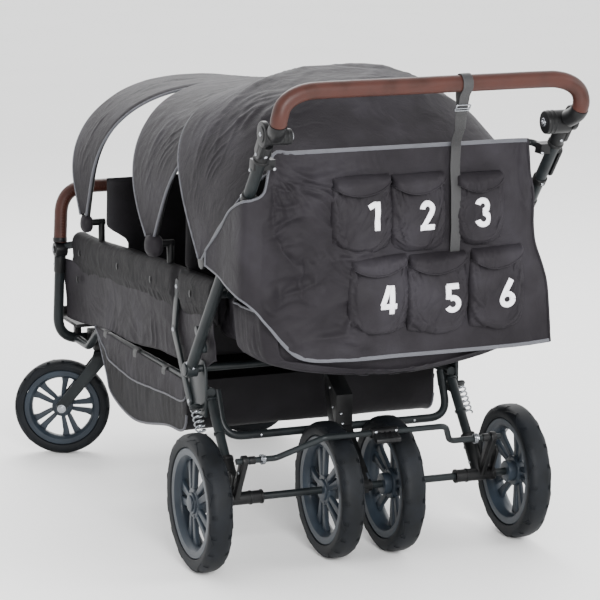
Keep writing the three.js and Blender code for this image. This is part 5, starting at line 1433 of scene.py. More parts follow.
def hood_cloth(name, hood, look):
    pivot_y, pivot_z = hood["pivot"]
    spans = [(a["lean"] - b["lean"]) / 2 for a, b in zip(hood["bows"], hood["bows"][1:])]
    outside = 4.3 / cos(radians(max(spans))) + 0.6
    columns = 240
    rows = {"front": 52, "middle": 72, "rear": 96}[name]
    foot = 6 if name == "rear" else 22
    table = [
        hood_outline(hood, hood_section(hood, j / rows), outside, columns, foot)
        for j in range(rows + 1)
    ]
    centre = at(0, pivot_y, pivot_z)
    leans = [b["lean"] for b in hood["bows"]]
    total = leans[0] - leans[-1] + 5
    ribs = [(leans[0] - lean + 2.5) / total for lean in leans[1:-1]]

    def place(u, v):
        point = table[round(v * rows)][round(u * columns)]
        high = clamp((point.z - centre.z) / 0.16 - 0.5)
        edge = min(v, 1 - v) * 2
        out = (point - centre).normalized()
        s, t = u * 1300, v * rows * 6
        gathers = (
            creases(s, t, 90, 50, 15, len(name)) * max(near(v, r, 0.06) for r in ribs + [0.02, 0.98])
        )
        drag = 1.2 * creases(s, t, 24, 240, 52, 3.0) + 0.6 * creases(s, t, -30, 150, 36, 7.0)
        shape = 1.1 * soft_noise(point, 5.0, 3.1) + (drag + 0.7 * gathers - 0.4) * edge
        lift = look.fold * shape * high
        return point + out * max(lift, -0.0008)

    arc = run_length(table[rows // 2])
    deep = run_length([row[columns // 2] for row in table])
    obj = cloth_sheet(f"{name}-hood-cloth", columns, rows, place, (arc, deep), wall=look.cloth_wall)
    hang(obj, arc, "stretched", [f"{name}-hood-front-bow"], f"{name}_hood", body=None)
    top_rear = table[rows][columns // 2]
    top_front = table[0][columns // 2]
    tuple(top_rear)
    tuple(top_front)
    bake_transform(obj)
    for which, row, body in (("front", 0, f"{name}_bow"), ("rear", rows, CHASSIS)):
        run = [place(i / columns, row / rows) for i in range(columns + 1)]
        bm = bmesh.new()
        sweep(bm, [p + (p - centre).normalized() * 0.4 * MM for p in run], look.tape_radius / MM, 10)
        finish_piece(f"{name}-hood-{which}-tape", bm, TAPE, body)
    for k, share in enumerate(ribs):
        row = round(share * rows)
        run = [place(i / columns, row / rows) for i in range(6, columns - 5)]
        bm = bmesh.new()
        sweep(bm, [p + (p - centre).normalized() * 0.2 * MM for p in run], 1.0, 6)
        seam = finish_piece(f"{name}-hood-seam-{k}", bm, THREAD)
        seam.parent = None
        tuple(top_rear)
        tuple(top_front)
        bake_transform(seam)
    if name == "rear":
        return
    size = (14, 19, 21) if name == "front" else (19, 26, 26)
    bm = bmesh.new()
    for end in (1, -1):
        middle = at(end * (hood["bows"][0]["half"] - 5), pivot_y, pivot_z - 2)
        made = bmesh.ops.create_uvsphere(bm, u_segments=40, v_segments=24, radius=1.0)["verts"]
        for v in made:
            swell = 1 + 0.05 * noise.noise(v.co * 2.2)
            v.co = middle + Vector([powered(c, 0.8) * r * swell * MM for c, r in zip(v.co, size)])
    finish_piece(f"{name}-hood-pivot-covers", bm, CHARCOAL, f"{name}_bow")


class PUSHCHAIR_OT_hoods(bpy.types.Operator):
    """Three hoods: bent bows, the cloth over them, edge tape, seams and covered pivots"""
    bl_idname = "pushchair.hoods"
    bl_label = "Hoods"

    def execute(self, context):
        look = context.scene.pushchair_cloth
        for name, hood in HOODS.items():
            hood_bows(name, hood)
            hood_cloth(name, hood, look)
        return {"FINISHED"}


# Rear panel, its pockets and the strap

def panel_column(column, share):
    points = [Vector(p) for p in column[0]]
    if len(points) == 2:
        place = points[0].lerp(points[1], share)
    else:
        run = smooth_run(points, 12)
        i = min(int(share * (len(run) - 1)), len(run) - 2)
        place = run[i].lerp(run[i + 1], share * (len(run) - 1) - i)
    place.y += column[1] * 10 * sin(pi * share)
    return place


def panel_table(columns, rows):
    table = []
    for j in range(rows + 1):
        run = smooth_run([panel_column(c, j / rows) for c in PANEL_COLUMNS], 8)
        table.append(resample(run, columns))
    return table


def panel_folds(x, z):
    """How far the panel's folds stand out, in millimetres: creases fan out from the upper left
    corner, the cloth drags between the pockets, and the right edge hangs in shallow waves."""
    dx, dz = 288 - x, 888 - z
    away = hypot(dx, dz)
    fan = creases(atan2(dz, dx + 1e-6) * 100, away, 90, 230, 24, 2.0)
    left = clamp((x - 20) / 90)
    drag = creases(x, z, -12, 150, 44, 3.0) * 13 + creases(x, z, 28, 90, 26, 6.0) * 8
    low = creases(x, z, 80, 60, 26, 7.0) * 4.5 * near(z, 505, 26)
    right = creases(x, z, 70, 130, 36, 9.0) * 8 * near(x, -295, 50)
    top = creases(x, z, 86, 60, 24, 12.0) * 4 * near(z, 884, 26)
    between = creases(x, z, -6, 90, 17, 15.0) * 4 * near(z, 695, 16)
    return fan * 15 * near(away, 170, 130) * max(left, 0.15) + drag * left + low + right + top + between


# Number, pocket's middle x and z, width, height, and the printed number's x and z
POCKETS = (
    ("1", 96, 780, 136, 148, 72, 776), ("2", -29, 777, 124, 150, -44, 771),
    ("3", -166, 777, 112, 138, -168, 770),
    ("4", 58, 612, 134, 154, 42, 602), ("5", -73, 607, 138, 160, -101, 596),
    ("6", -207, 609, 126, 164, -226, 597),
)
# Each number's strokes on a square of one height: a run of points, or an arc's middle,
# radius, and its first and last angle
STROKES = {
    "1": (((0.07, 0.80), (0.24, 0.90), (0.33, 0.915)), ((0.38, 0.0), (0.38, 1.0))),
    "2": (
        ("arc", 0.28, 0.715, 0.2, 175, -42), ((0.44, 0.6), (0.1, 0.1)), ((0.0, 0.085), (0.57, 0.085))
    ),
    "3": (("arc", 0.27, 0.735, 0.18, 165, -90), ("arc", 0.28, 0.285, 0.2, 90, -165)),
    "4": (((0.32, 1.0), (0.06, 0.3)), ((0.0, 0.27), (0.6, 0.27)), ((0.42, 0.0), (0.42, 1.0))),
    "5": (
        ((0.07, 0.915), (0.52, 0.915)), ((0.13, 0.95), (0.12, 0.47)),
        ("arc", 0.28, 0.3, 0.215, 122, -150)
    ),
    "6": (("arc", 0.28, 0.29, 0.2, 0, 360), ((0.42, 1.0), (0.22, 0.66), (0.1, 0.38))),
}


def follow_fold(obj):
    obj.parent = None
    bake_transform(obj)


def panel_tapes(place, columns, rows):
    free = [i for i in range(columns + 1) if place(i / columns, 0.0).x < at(292, 0, 0).x]
    runs = {
        "top": ([place(i / columns, 0.0) - UP * 3.4 * MM for i in free], TAPE),
        "corner": ([place(i / columns, 0.0) for i in range(free[-1], columns + 1)], TAPE),
        "hem": ([place(i / columns, 1.0) + UP * 2.6 * MM for i in range(columns + 1)], TAPE),
        "right": ([place(0.0, j / rows) for j in range(rows + 1)], CHARCOAL),
        "tip": ([place(1.0, j / rows) for j in range(rows + 1)], TAPE),
    }
    for name, (run, cloth) in runs.items():
        bm = bmesh.new()
        if name in ("top", "hem"):
            radii = [1 - 0.45 * clamp((p.x - at(235, 0, 0).x) / (70 * MM)) for p in run]
            sweep(bm, run, (8.5, 3.4), 12, across=UP, radii=radii)
        else:
            sweep(bm, run, 2.8, 10)
        follow_fold(finish_piece(f"panel-tape-{name}", bm, cloth))


def panel_pocket(number, x, z, w, h, dx, dz, look):
    """A bag pocket: its front bellies lowest near the bottom, is drawn in along its edges and
    wrinkled, and has a short curved flap that stands away from its mouth on one side."""
    columns, rows = 60, 64
    seed = float(number) * 3.7

    def front(u, v):
        a = abs(2 * u - 1)
        belly = 17 + 23 * sin(pi * min(v * 0.7 + 0.1, 1)) ** 1.4
        wide, tall = (u - 0.5) * w, v * h
        folds = 5.5 * creases(wide, tall, 62, 60, 17, seed) * near(v, 0.75, 0.4)
        folds += 5 * creases(wide, tall, 118, 70, 20, seed + 3) * near(v, 0.12, 0.24)
        folds += 3.2 * creases(wide, tall, 20, 50, 13, seed + 5) * near(a, 1, 0.4)
        wave = 3.4 * drift(u * 3.2, v * 3.4, seed) - 9 * near(u, 0.8, 0.16) * near(v, 0.93, 0.07)
        out = max(belly + wave - folds, 4) * (1 - a ** 8) ** 0.5 * (1 - v ** 9) ** 0.6
        pull = 0.9 + 0.12 * sin(pi * min(v * 0.72 + 0.06, 1)) - 0.06 * v ** 6
        drop = 5 * sin(pi * u) * v ** 2 + 3 * drift(u * 4, 0, seed) * v
        lip = (6 * sin(pi * u) + 7 * near(u, 0.8, 0.16)) * (1 - v) ** 6
        return at(x + w * (u - 0.5) * pull, 217.5 + out, z + h / 2 - h * v - drop - lip)

    pouch = cloth_sheet(
        f"pocket-{number}", columns, rows, front, (w * 1.2 * MM, h * 1.15 * MM), wall=look.cloth_wall
    )
    slacken(pouch, columns, rows, look.cloth_wall)
    follow_fold(hang(pouch, w * MM, "gathered", ["rear-panel-cloth"]))

    def flap(u, v):
        a = abs(2 * u - 1)
        reach = h * (0.1 + 0.17 * sin(pi * min(max(1.06 - u, 0), 1)) ** 0.7)
        rolled = sin(pi / 2 * min(v * 1.5, 1)) ** 0.7
        out = 2 + 32 * rolled * (1 - a ** 10) ** 0.5
        wide, tall = (u - 0.5) * w, v * reach
        out += (
            (3.5 * creases(wide, tall, 78, 40, 15, seed + 2) + 2 * drift(u * 6, v * 2, seed))
            * min(v * 2, 1)
        )
        up = 5 + 5 * near(u, 0.35, 0.3) * sin(pi * min(v * 1.3, 1))
        return at(x + w * 0.94 * (u - 0.5), 218.5 + out, z + h / 2 + up - reach * v)

    lid = cloth_sheet(
        f"pocket-flap-{number}", 48, 20, flap, (w * 1.2 * MM, h * 0.3 * MM), wall=look.cloth_wall
    )
    follow_fold(hang(lid, w * MM, "hung", [f"pocket-{number}"]))
    bm = bmesh.new()
    sweep(bm, [flap(i / 48, 0.985) + Vector((0, 0.5 * MM, 0)) for i in range(49)], 1.5, 8)
    follow_fold(finish_piece(f"pocket-hem-{number}", bm, CHARCOAL))
    printed_number(number, dx, dz, pouch)


def slacken(pouch, columns, rows, wall):
    """Give the pouch a little slack and let it belly under its own weight."""
    group = pouch.vertex_groups.new(name="sewn")
    across = columns + 1
    for v in pouch.data.vertices:
        i, j = v.index % across, v.index // across
        if i in (0, 1, columns - 1, columns) or j in (0, 1, rows - 1, rows):
            group.add([v.index], 1.0, "REPLACE")
    pouch.modifiers.clear()
    cloth = pouch.modifiers.new("cloth", "CLOTH")
    settings = {
        "quality": 5, "mass": 0.2, "tension_stiffness": 12, "compression_stiffness": 6,
        "bending_stiffness": 0.15, "shrink_min": -0.07, "vertex_group_mass": "sewn",
        "use_pressure": True, "uniform_pressure_force": 0.6,
    }
    for key, value in settings.items():
        setattr(cloth.settings, key, value)
    cloth.settings.effector_weights.gravity = 0.5
    cloth.collision_settings.use_collision = False
    before = [v.co.copy() for v in pouch.data.vertices]
    scene = bpy.context.scene
    last, furthest = 16, 9 * MM
    cloth.point_cache.frame_start, cloth.point_cache.frame_end = 1, last
    for number in range(1, last + 1):
        scene.frame_set(number)
    apply_modifiers(pouch)
    scene.frame_set(1)
    for v, old in zip(pouch.data.vertices, before):
        moved = v.co - old
        if moved.length > furthest:
            v.co = old + moved * (furthest / moved.length)
        v.co.y = max(v.co.y, at(0, 217, 0).y)
    add_wall(pouch, wall)


def printed_number(number, x, z, pouch):
    """A printed number, laid on the pocket's own surface."""
    tall, wide = 59, 11.5
    graph = bpy.context.evaluated_depsgraph_get()
    graph.update()
    bm = bmesh.new()
    for stroke in STROKES[number]:
        if stroke[0] == "arc":
            _, cx, cy, r, a0, a1 = stroke
            turns = [radians(a0 + (a1 - a0) * k / 28) for k in range(29)]
            run = [(cx + r * cos(turn), cy + r * sin(turn)) for turn in turns]
        else:
            run = [stroke[0]]
            for a, b in zip(stroke, stroke[1:]):
                run += [
                    (a[0] + (b[0] - a[0]) * k / 12, a[1] + (b[1] - a[1]) * k / 12) for k in range(1, 13)
                ]
        points = [at(x - (px - 0.29) * tall, 240, z + (py - 0.5) * tall) for px, py in run]
        ribbon(bm, points, wide)
    bmesh.ops.subdivide_edges(
        bm, edges=[e for e in bm.edges if e.calc_length() > 5 * MM], cuts=3, use_grid_fill=True
    )
    for v in bm.verts:
        hit, spot, normal, _ = pouch.ray_cast(
            Vector((v.co.x, at(0, 330, 0).y, v.co.z)), Vector((0, -1, 0))
        )
        if hit:
            v.co = spot + normal * 0.5 * MM
    mesh = bpy.data.meshes.new(f"number-{number}")
    bmesh.ops.remove_doubles(bm, verts=bm.verts, dist=0.00005)
    bm.to_mesh(mesh)
    bm.free()
    mesh.shade_smooth()
    obj = place_piece(f"number-{number}", mesh, PRINT)
    add_wall(obj, 0.4 * MM, 1)
    apply_modifiers(obj)
    follow_fold(obj)


def ribbon(bm, points, wide):
    """A flat ribbon of even width in the plane of the panel."""
    rows = []
    for i, p in enumerate(points):
        step = points[min(i + 1, len(points) - 1)] - points[max(i - 1, 0)]
        side = Vector((-step.z, 0, step.x)).normalized() * wide / 2 * MM
        rows.append([bm.verts.new(p + side * s) for s in (-1, -0.34, 0.34, 1)])
    for a, b in zip(rows, rows[1:]):
        for k in range(3):
            bm.faces.new((a[k], a[k + 1], b[k + 1], b[k]))


class PUSHCHAIR_OT_panel(bpy.types.Operator):
    """The rear panel with its folds, edge tape, six pockets with flaps, and numbers"""
    bl_idname = "pushchair.panel"
    bl_label = "Rear panel"

    def execute(self, context):
        look = context.scene.pushchair_cloth
        columns, rows = 264, 120
        table = panel_table(columns, rows)

        def place(u, v):
            p = table[round(v * rows)][round(u * columns)]
            flat = clamp((305 - p.x) / 30) * min(1.0, v * 9 + 0.15, (1 - v) * 9 + 0.15)
            out = panel_folds(p.x, p.z) * flat
            crumple = 4.5 * soft_noise(p, 0.011, 4.0) + 1.2 * soft_noise(p, 0.04, 9.0)
            y = p.y + 1.6 + max(out + crumple * flat, -3.0)
            lift = 8 * max(0.0, 1 - v * 9) * clamp((300 - p.x) / 12)
            return at(p.x, y, p.z + lift)

        wide = run_length(table[rows // 2]) * MM
        deep = run_length([row[60] for row in table]) * MM
        obj = cloth_sheet("rear-panel-cloth", columns, rows, place, (wide, deep), wall=look.cloth_wall)
        follow_fold(hang(obj, wide, "hung", ["handle_cross_tube"], "rear_panel", body=None))
        panel_tapes(place, columns, rows)
        for pocket in POCKETS:
            panel_pocket(*pocket, look)
        return {"FINISHED"}


class PUSHCHAIR_OT_strap(bpy.types.Operator):
    """The strap looped round the grip, with its slider"""
    bl_idname = "pushchair.strap"
    bl_label = "Strap"

    def execute(self, context):
        loop = 19.3
        points = []
        for k in range(27):
            turn = radians(198 - 250 * k / 26)
            points.append(at(-66, GRIP_Y + loop * cos(turn), GRIP_Z + loop * sin(turn)))
        start = [at(-69, 348, 1008), at(-67, 349, 1024)]
        down = [
            at(-66, 372, 1030), at(-68, 362, 1016), at(-70, 353, 1004), at(-80, 326, 982),
            at(-96, 285, 950), at(-106, 247, 922), at(-111, 234, 900), at(-111, 231, 860),
            at(-110, 238, 820), at(-109, 241, 780), at(-110, 240, 740), at(-111, 234, 700),
            at(-111, 231, 684)
        ]
        run = smooth_run([*start, *points[::3], *down], 8)
        run = resample(run, 170)
        bm = bmesh.new()
        sweep(bm, run, (22, 1.7), 12, across=ACROSS)
        strap = finish_piece("strap-webbing", bm, WEBBING, "handlebar", "strap")
        strap.parent = None
        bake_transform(strap)
        bm = bmesh.new()
        tail = [at(-69, 352, 1006), at(-76, 333, 985), at(-88, 306, 962), at(-96, 290, 951)]
        sweep(
            bm, resample(smooth_run([p + Vector((0, -3.4 * MM, -1.4 * MM)) for p in tail], 6), 24),
            (22, 1.6), 12, across=ACROSS
        )
        finish_piece("strap-tail", bm, WEBBING, "handlebar")
        bm = bmesh.new()
        middle = at(-70, 353.5, 1003)
        tilt = Matrix.Translation(middle) @ Matrix.Rotation(radians(-42), 4, "X")
        half_w, half_h = 15, 8.5
        corners = [
            Vector((x, 0, z))
            for x, z in ((-half_w, -half_h), (half_w, -half_h), (half_w, half_h), (-half_w, half_h))
        ]
        sweep(bm, bent([tilt @ (c * MM) for c in corners + corners[:2]], 3, 5), 1.5, 10)
        sweep(bm, [tilt @ (Vector((x, 1.6, 0)) * MM) for x in (-half_w, half_w)], 1.5, 10)
        finish_piece("strap-slider", bm, ZINC, "handlebar")
        return {"FINISHED"}


# Side walls: a padded cover over each side rail and a skirt below it

WALL_FRONT, WALL_REAR = -1056, -74


def cover_section(y, turn):
    """The cover's outline round the rail at turn 0 to 1, from the seam up over the rail
    and back to the seam, as millimetres out and up."""
    end = min(y - WALL_FRONT, WALL_REAR - y)
    closed = sqrt(max(0.0, 1 - (1 - min(end / 16, 1)) ** 2))
    full = 0.46 + 0.54 * closed
    s = abs(2 * turn - 1)
    if s < 0.42:
        angle = pi / 2 * (s / 0.42)
        out, up = 20.2 * full * sin(angle), 22.4 * full * cos(angle)
    else:
        t = (s - 0.42) / 0.58
        up = -76 * t
        out = min(20.2 * full * max(0.0, 1 - t) ** 0.6 + 12 * t * (1 - t) + 3.6, 20.4 * full)
    return copysign(out, turn - 0.5), up


def wall_cover(name, sign):
    rows, around = 300, 56

    def place(u, v):
        y = WALL_FRONT + (WALL_REAR - WALL_FRONT) * v
        out, up = cover_section(y, u)
        seed = 3 + sign
        low = clamp(-up / 50)
        puff = 2.6 * drift(y * 0.012, up * 0.02, seed)
        amount = (
            puff + 2 * creases(y, up, 74, 70, 34, seed) * (0.25 + 0.75 * low) - 3.4 * near(up, -40, 7)
        )
        out += copysign(amount, out if out else 1) * min(1, abs(out) / 6)
        if up > 0:
            up += 0.5 * puff + 5 * near(y, -1040, 90)
        out = max(-21.5, min(21.5, out * (1 - 0.5 * near(y, -306, 18) * (out > 0))))
        return at(sign * (SIDE_RAIL_X + out), y, rail_height(y) + up)

    obj = cloth_sheet(f"wall-cover-{name}", around, rows, place, (0.2, 0.95), QUILTED)
    stuff(obj, 0.55, f"side_wall_{name}", merge=False)


def wall_skirt(name, sign, look):
    columns, rows = 280, 40

    def place(u, v):
        y = WALL_FRONT - 36 + (WALL_REAR - WALL_FRONT + 26) * u
        reach = 146 + 3 * sin(u * 17) - 16 * max(0.0, u - 0.5) - 26 * near(y, WALL_REAR, 60)
        up = -42 - reach * v
        fold = 2.4 * drift(y * 0.012, up * 0.02, 9 + sign)
        fold += (
            3 * creases(y, up, 76, 110, 46, 2.0 + sign) * v + 3 * creases(y, up, 14, 130, 34, 5.0) * v
        )
        strut = near(y, -285, 75)
        out = (13.5 - 10 * v) * (1 - 0.7 * strut) + min(fold, 3) * (1 - strut) + 16 * near(y, -1100, 60)
        return at(sign * (SIDE_RAIL_X + out), y, rail_height(max(y, -1045)) + up)

    obj = cloth_sheet(
        f"wall-skirt-{name}", columns, rows, place, (0.97, 0.15), wall=look.cloth_wall, grow=0.0
    )
    hang(obj, 0.97, "hung", [f"wall-cover-{name}"])
    bm = bmesh.new()
    sweep(
        bm, [place(0, k / 10) for k in range(11)] + [place(k / 200, 1) for k in range(1, 201)], 1.8, 10
    )
    sweep(bm, [place(k / 200, 0.004) + ACROSS * sign * 1.2 * MM for k in range(4, 198)], 2, 8)
    finish_piece(f"wall-seams-{name}", bm, CHARCOAL)


def wall_tabs(name, sign):
    """Short black loops let into the cover, and one in the skirt's front end."""
    bm = bmesh.new()
    for y, drop in ((-990, 18), (-700, 20), (-463, 24), (-200, 22), (-1009, 84)):
        z = rail_height(y) - drop
        points = [
            at(sign * (SIDE_RAIL_X + 21.2), y, z + 7), at(sign * (SIDE_RAIL_X + 22.4), y, z),
            at(sign * (SIDE_RAIL_X + 21), y, z - 7)
        ]
        sweep(bm, points, (9, 3), 10, across=REARWARD)
    finish_piece(f"wall-tabs-{name}", bm, NYLON)


class PUSHCHAIR_OT_walls(bpy.types.Operator):
    """The padded covers on the side rails, with their skirts, seams and tabs"""
    bl_idname = "pushchair.walls"
    bl_label = "Side walls"

    def execute(self, context):
        look = context.scene.pushchair_cloth
        for name, sign in SIDES:
            wall_cover(name, sign)
            wall_skirt(name, sign, look)
            wall_tabs(name, sign)
        return {"FINISHED"}


# Seats, harness and the slung rear row

SEAT_HALF = 268


def seat_line(crease):
    """The middle line of a pad, from its front edge over the crease to the top of its back."""
    points = [
        (crease - 246, 397), (crease - 215, 399), (crease - 150, 399), (crease - 80, 399),
        (crease - 24, 400), (crease + 6, 409), (crease + 19, 440), (crease + 25, 500),
        (crease + 33, 580), (crease + 41, 660), (crease + 44, 714)
    ]
    run = smooth_run([Vector((0, y, z)) for y, z in points], 10)
    return resample(run, 72)


def seat_surface(line, crease, x, s, side=1):
    """A point of the pad: across x, along its middle line s, on its upper or lower side."""
    i = s * (len(line) - 1)
    a = min(int(i), len(line) - 2)
    p = line[a].lerp(line[a + 1], i - a)
    step = (line[a + 1] - line[a]).normalized()
    normal = Vector((0, -step.z, step.y))
    place = min(abs(x) / SEAT_HALF, 1)
    edge = sqrt(max(0.0, 1 - place ** 26)) * sqrt(max(0.0, 1 - abs(2 * s - 1) ** 34))
    puff = sin(pi * clamp((place - 0.05) / 0.9)) ** 0.55
    turn = pi * s / 0.44 if s < 0.44 else pi * (s - 0.44) / 0.56
    along = sin(turn) ** 0.5
    seam = 1 - 0.45 * near(s, 0.62, 0.012) - 0.45 * near(s, 0.8, 0.012)
    dimple = 1.6 * drift(x * 0.02, s * 9, crease * 0.01)
    away = 11 + (16.5 * puff * along * seam + dimple) * edge if side > 0 else -11
    return p + normal * away * edge


def seat_pad(name, crease):
    columns, rows = 120, 150
    line = seat_line(crease)

    def place(u, v):
        s, side = (v * 2, 1) if v <= 0.5 else (2 - v * 2, -1)
        x = SEAT_HALF * (2 * u - 1)
        p = seat_surface(line, crease, x, s, side)
        high = clamp((p.z - 572) / 34)
        wing = 1 + (0.2 if name == "front" else 0.13) * high * high * (3 - 2 * high)
        return at(x * wing, p.y, p.z + (14 if name == "front" else 4) * high)

    obj = cloth_sheet(f"seat-{name}", columns, rows, place, (0.54, 1.2), LINING)
    return stuff(obj, 0.7, f"{name}_seat")


def seat_belts(name, crease):
    line = seat_line(crease)
    bm, buckles = bmesh.new(), bmesh.new()
    for middle in (-134, 134):
        hub = seat_surface(line, crease, middle, 0.30)
        hub = at(middle, hub.y, hub.z + 9)
        for side in (-1, 1):
            run = []
            for k in range(14):
                t = k / 13
                s = 0.86 - 0.53 * t
                x = middle + side * (58 - 44 * t ** 1.6)
                p = seat_surface(line, crease, x, s)
                lift = 2.4 + 20 * sin(pi * t) ** 2 * (0.35 + 0.65 * t)
                run.append(at(x, p.y - lift * 0.8, p.z + lift * 0.6))
            run[-1] = hub + Vector((side * 10 * MM, 0, 2 * MM))
            sweep(bm, resample(smooth_run(run, 4), 60), (24, 1.8), 10, across=ACROSS)
            lap = []
            for k in range(9):
                t = k / 8
                x = middle + side * (104 - 90 * t)
                p = seat_surface(line, crease, x, 0.37 - 0.07 * t)
                lap.append(at(x, p.y - 2, p.z + 3.2 + 7 * t))
            sweep(
                bm, resample(smooth_run(lap, 4), 40), (22, 1.8), 10,
                across=Vector((0, 1, 0.2)).normalized()
            )
        crotch = []
        for k in range(7):
            t = k / 6
            p = seat_surface(line, crease, middle, 0.2 + 0.1 * t)
            crotch.append(at(middle, p.y, p.z + 2.4 + 7 * t))
        sweep(bm, resample(smooth_run(crotch, 4), 24), (24, 1.8), 10, across=ACROSS)
        tilt = Matrix.Translation(hub) @ Matrix.Rotation(radians(-25), 4, "X")
        block = bmesh.ops.create_cube(
            buckles, size=1.0, matrix=tilt @ Matrix.Diagonal((38 * MM, 30 * MM, 13 * MM, 1))
        )
        break_edges(buckles, list({e for v in block["verts"] for e in v.link_edges}), 4, 4)
    return finish_piece(f"belts-{name}", bm, WEBBING), finish_piece(f"buckles-{name}", buckles, NYLON)


class PUSHCHAIR_OT_seats(bpy.types.Operator):
    """The two padded double seats with their channels, belts and buckles"""
    bl_idname = "pushchair.seats"
    bl_label = "Seats"

    def execute(self, context):
        for name, crease in (("front", -782), ("middle", -292)):
            seat = seat_pad(name, crease)
            belts = seat_belts(name, crease)
            if name == "front":
                for piece in (seat, *belts):
                    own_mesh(piece)
        return {"FINISHED"}


TUB_ROWS = (
    (-138, 268.4, -0.1, 519), (-74, 268.4, 0.0, 580), (-8, 280.2, 0.4, 580), (42, 303.6, 0.8, 580),
    (112, 303.6, 1.0, 580), (168, 294.6, 0.1, 580), (196, 267.0, -1.6, 580),
)
TUB_SHARES = (
    (0, 0), (0.7, 0.01), (0.86, 0.04), (0.93, 0.09), (0.965, 0.18), (0.985, 0.34), (0.996, 0.66), (1, 1)
)


def tub_row(y):
    rows = [Vector(r) for r in TUB_ROWS]
    if y <= rows[0][0]:
        return rows[0]
    for a, b in zip(rows, rows[1:]):
        if y <= b[0]:
            t = (y - a[0]) / (b[0] - a[0])
            t = t * t * (3 - 2 * t) * 0.4 + t * 0.6
            return a.lerp(b, t)
    return rows[-1]


def tub_rise(share):
    for (a, ra), (b, rb) in zip(TUB_SHARES, TUB_SHARES[1:]):
        if share <= b:
            t = (share - a) / (b - a)
            return ra + (rb - ra) * t
    return 1.0


class PUSHCHAIR_OT_tub(bpy.types.Operator):
    """The slung floor and sides of the last row, with its quilted mat"""
    bl_idname = "pushchair.tub"
    bl_label = "Rear tub"

    def execute(self, context):
        look = context.scene.pushchair_cloth

        def low(share):
            return 424 + 44 * abs(share) ** 1.7

        def place(u, v):
            y = -137 + 332 * v
            _, half, _, top = tub_row(y)
            share = 2 * u - 1
            share = copysign(1 - (1 - abs(share)) ** 1.35, share)
            z = low(share) + (top - low(share)) * tub_rise(abs(share))
            z += (
                3 * creases(share * half, y, 40, 90, 24, 4.0) * (1 - abs(share))
                + 20 * near(y, 196, 24) * (1 - share ** 8)
            )
            wave = 3 * creases(y, z, 80, 60, 22, 3.0) * near(abs(share), 1, 0.06)
            return at(share * (half - 1.5 - wave), y, z)

        obj = cloth_sheet("rear-tub-cloth", 150, 90, place, (0.88, 0.34), wall=look.cloth_wall)
        hang(obj, 0.88, "hung", ["side_rail_left", "side_rail_right"], "rear_tub")

        def back(u, v):
            share = 2 * u - 1
            foot = low(share) + 112 * tub_rise(abs(share)) + 14 * (1 - share ** 8)
            fold = 3 * creases(share * 260, v * 130, 84, 70, 26, 8.0) * sin(pi * v)
            return at(share * 264, 193 + 4 * v - 10 * (1 - v) ** 2 - fold, foot + (586 - foot) * v)

        rear = cloth_sheet("rear-tub-back", 120, 30, back, (0.53, 0.15), wall=look.cloth_wall, grow=0.0)
        hang(rear, 0.53, "hung", ["rear-tub-cloth"])

        def mat(u, v):
            y = -128 + 300 * (v if v < 0.5 else 1 - v) * 2
            across = 0.9 * (2 * u - 1)
            _, half, _, top = tub_row(y)
            z = low(across) + 5 + (top - low(across)) * tub_rise(abs(across))
            edge = (
                sqrt(max(0.0, 1 - abs(2 * u - 1) ** 20))
                * sqrt(max(0.0, 1 - abs((y + 128) / 155 - 1) ** 20))
            )
            quilt = abs(sin(pi * (across * 4.5))) ** 0.4
            if v < 0.5:
                z += (4 + 9 * quilt) * edge
            return at(across * half, y, z)

        stuff(cloth_sheet("rear-tub-mat", 110, 120, mat, (0.5, 0.64), QUILTED), 0.7)
        bm = bmesh.new()
        for u in (0.0, 1.0):
            sweep(bm, [place(u, k / 60) + Vector((0, 0, -1.5 * MM)) for k in range(61)], 2.3, 10)
        finish_piece("rear-tub-piping", bm, TAPE)
        return {"FINISHED"}


# Basket

BASKET = ((-918, 345), (-841, 248), (-796, 201), (-629, 178), (-411, 215), (-286, 236), (-272, 345))


def basket_low(run, y):
    """Height of the basket's bottom at a place along it."""
    for a, b in zip(run, run[1:]):
        if y <= b.y:
            return a.z + (b.z - a.z) * (y - a.y) / max(b.y - a.y, 0.001)
    return run[-1].z


def basket_side(name, sign, look, run):
    columns = 150

    def wall_place(share, u):
        """share 0 at the top hem, 1 at the bottom edge."""
        y = -917 + 644 * u
        low = basket_low(run, y)
        z = 344 - (344 - low) * share
        bulge = 3.4 * sin(pi * share) * sin(pi * clamp(u)) ** 0.4
        wave = 2.2 * drift(y * 0.022, z * 0.02, 6 + sign) + 1.3 * drift(y * 0.06, z * 0.012, sign)
        out = 294.6 + bulge + wave * sin(pi * share)
        return at(sign * out, y, z)

    def flap_place(u, v):
        return wall_place(v * 0.42, u) + ACROSS * sign * (1.4 + 1.2 * sin(pi * v)) * MM

    upper = cloth_sheet(
        f"basket-flap-{name}", columns, 16, flap_place, (0.65, 0.07), wall=look.cloth_wall, grow=0.0
    )
    lower = cloth_sheet(
        f"basket-side-{name}", columns, 30, lambda u, v: wall_place(v, u), (0.65, 0.15), LINING,
        wall=look.cloth_wall, grow=0.0
    )
    for obj in (upper, lower):
        hang(obj, 0.65, "hung", [f"lower_rail_{name}"])
    bm = bmesh.new()
    hem = [wall_place(0.42, k / 120) + ACROSS * sign * 2.8 * MM for k in range(121)]
    sweep(bm, hem, 2.2, 10)
    edge = [wall_place(1.0, k / 150) + Vector((sign * 0.8 * MM, 0, 1.5 * MM)) for k in range(151)]
    sweep(bm, edge, 2.8, 10)
    finish_piece(f"basket-piping-{name}", bm, TAPE)
    bm = bmesh.new()
    for y in (-840, -620, -420):
        z = 340
        loop_run = [
            at(sign * 297.8, y, z - 14), at(sign * 297.4, y, z), at(sign * 294, y, z + 7),
            at(sign * 284, y, z + 9)
        ]
        sweep(bm, smooth_run(loop_run, 5), (24, 1.8), 10, across=REARWARD)
    finish_piece(f"basket-loops-{name}", bm, WEBBING)


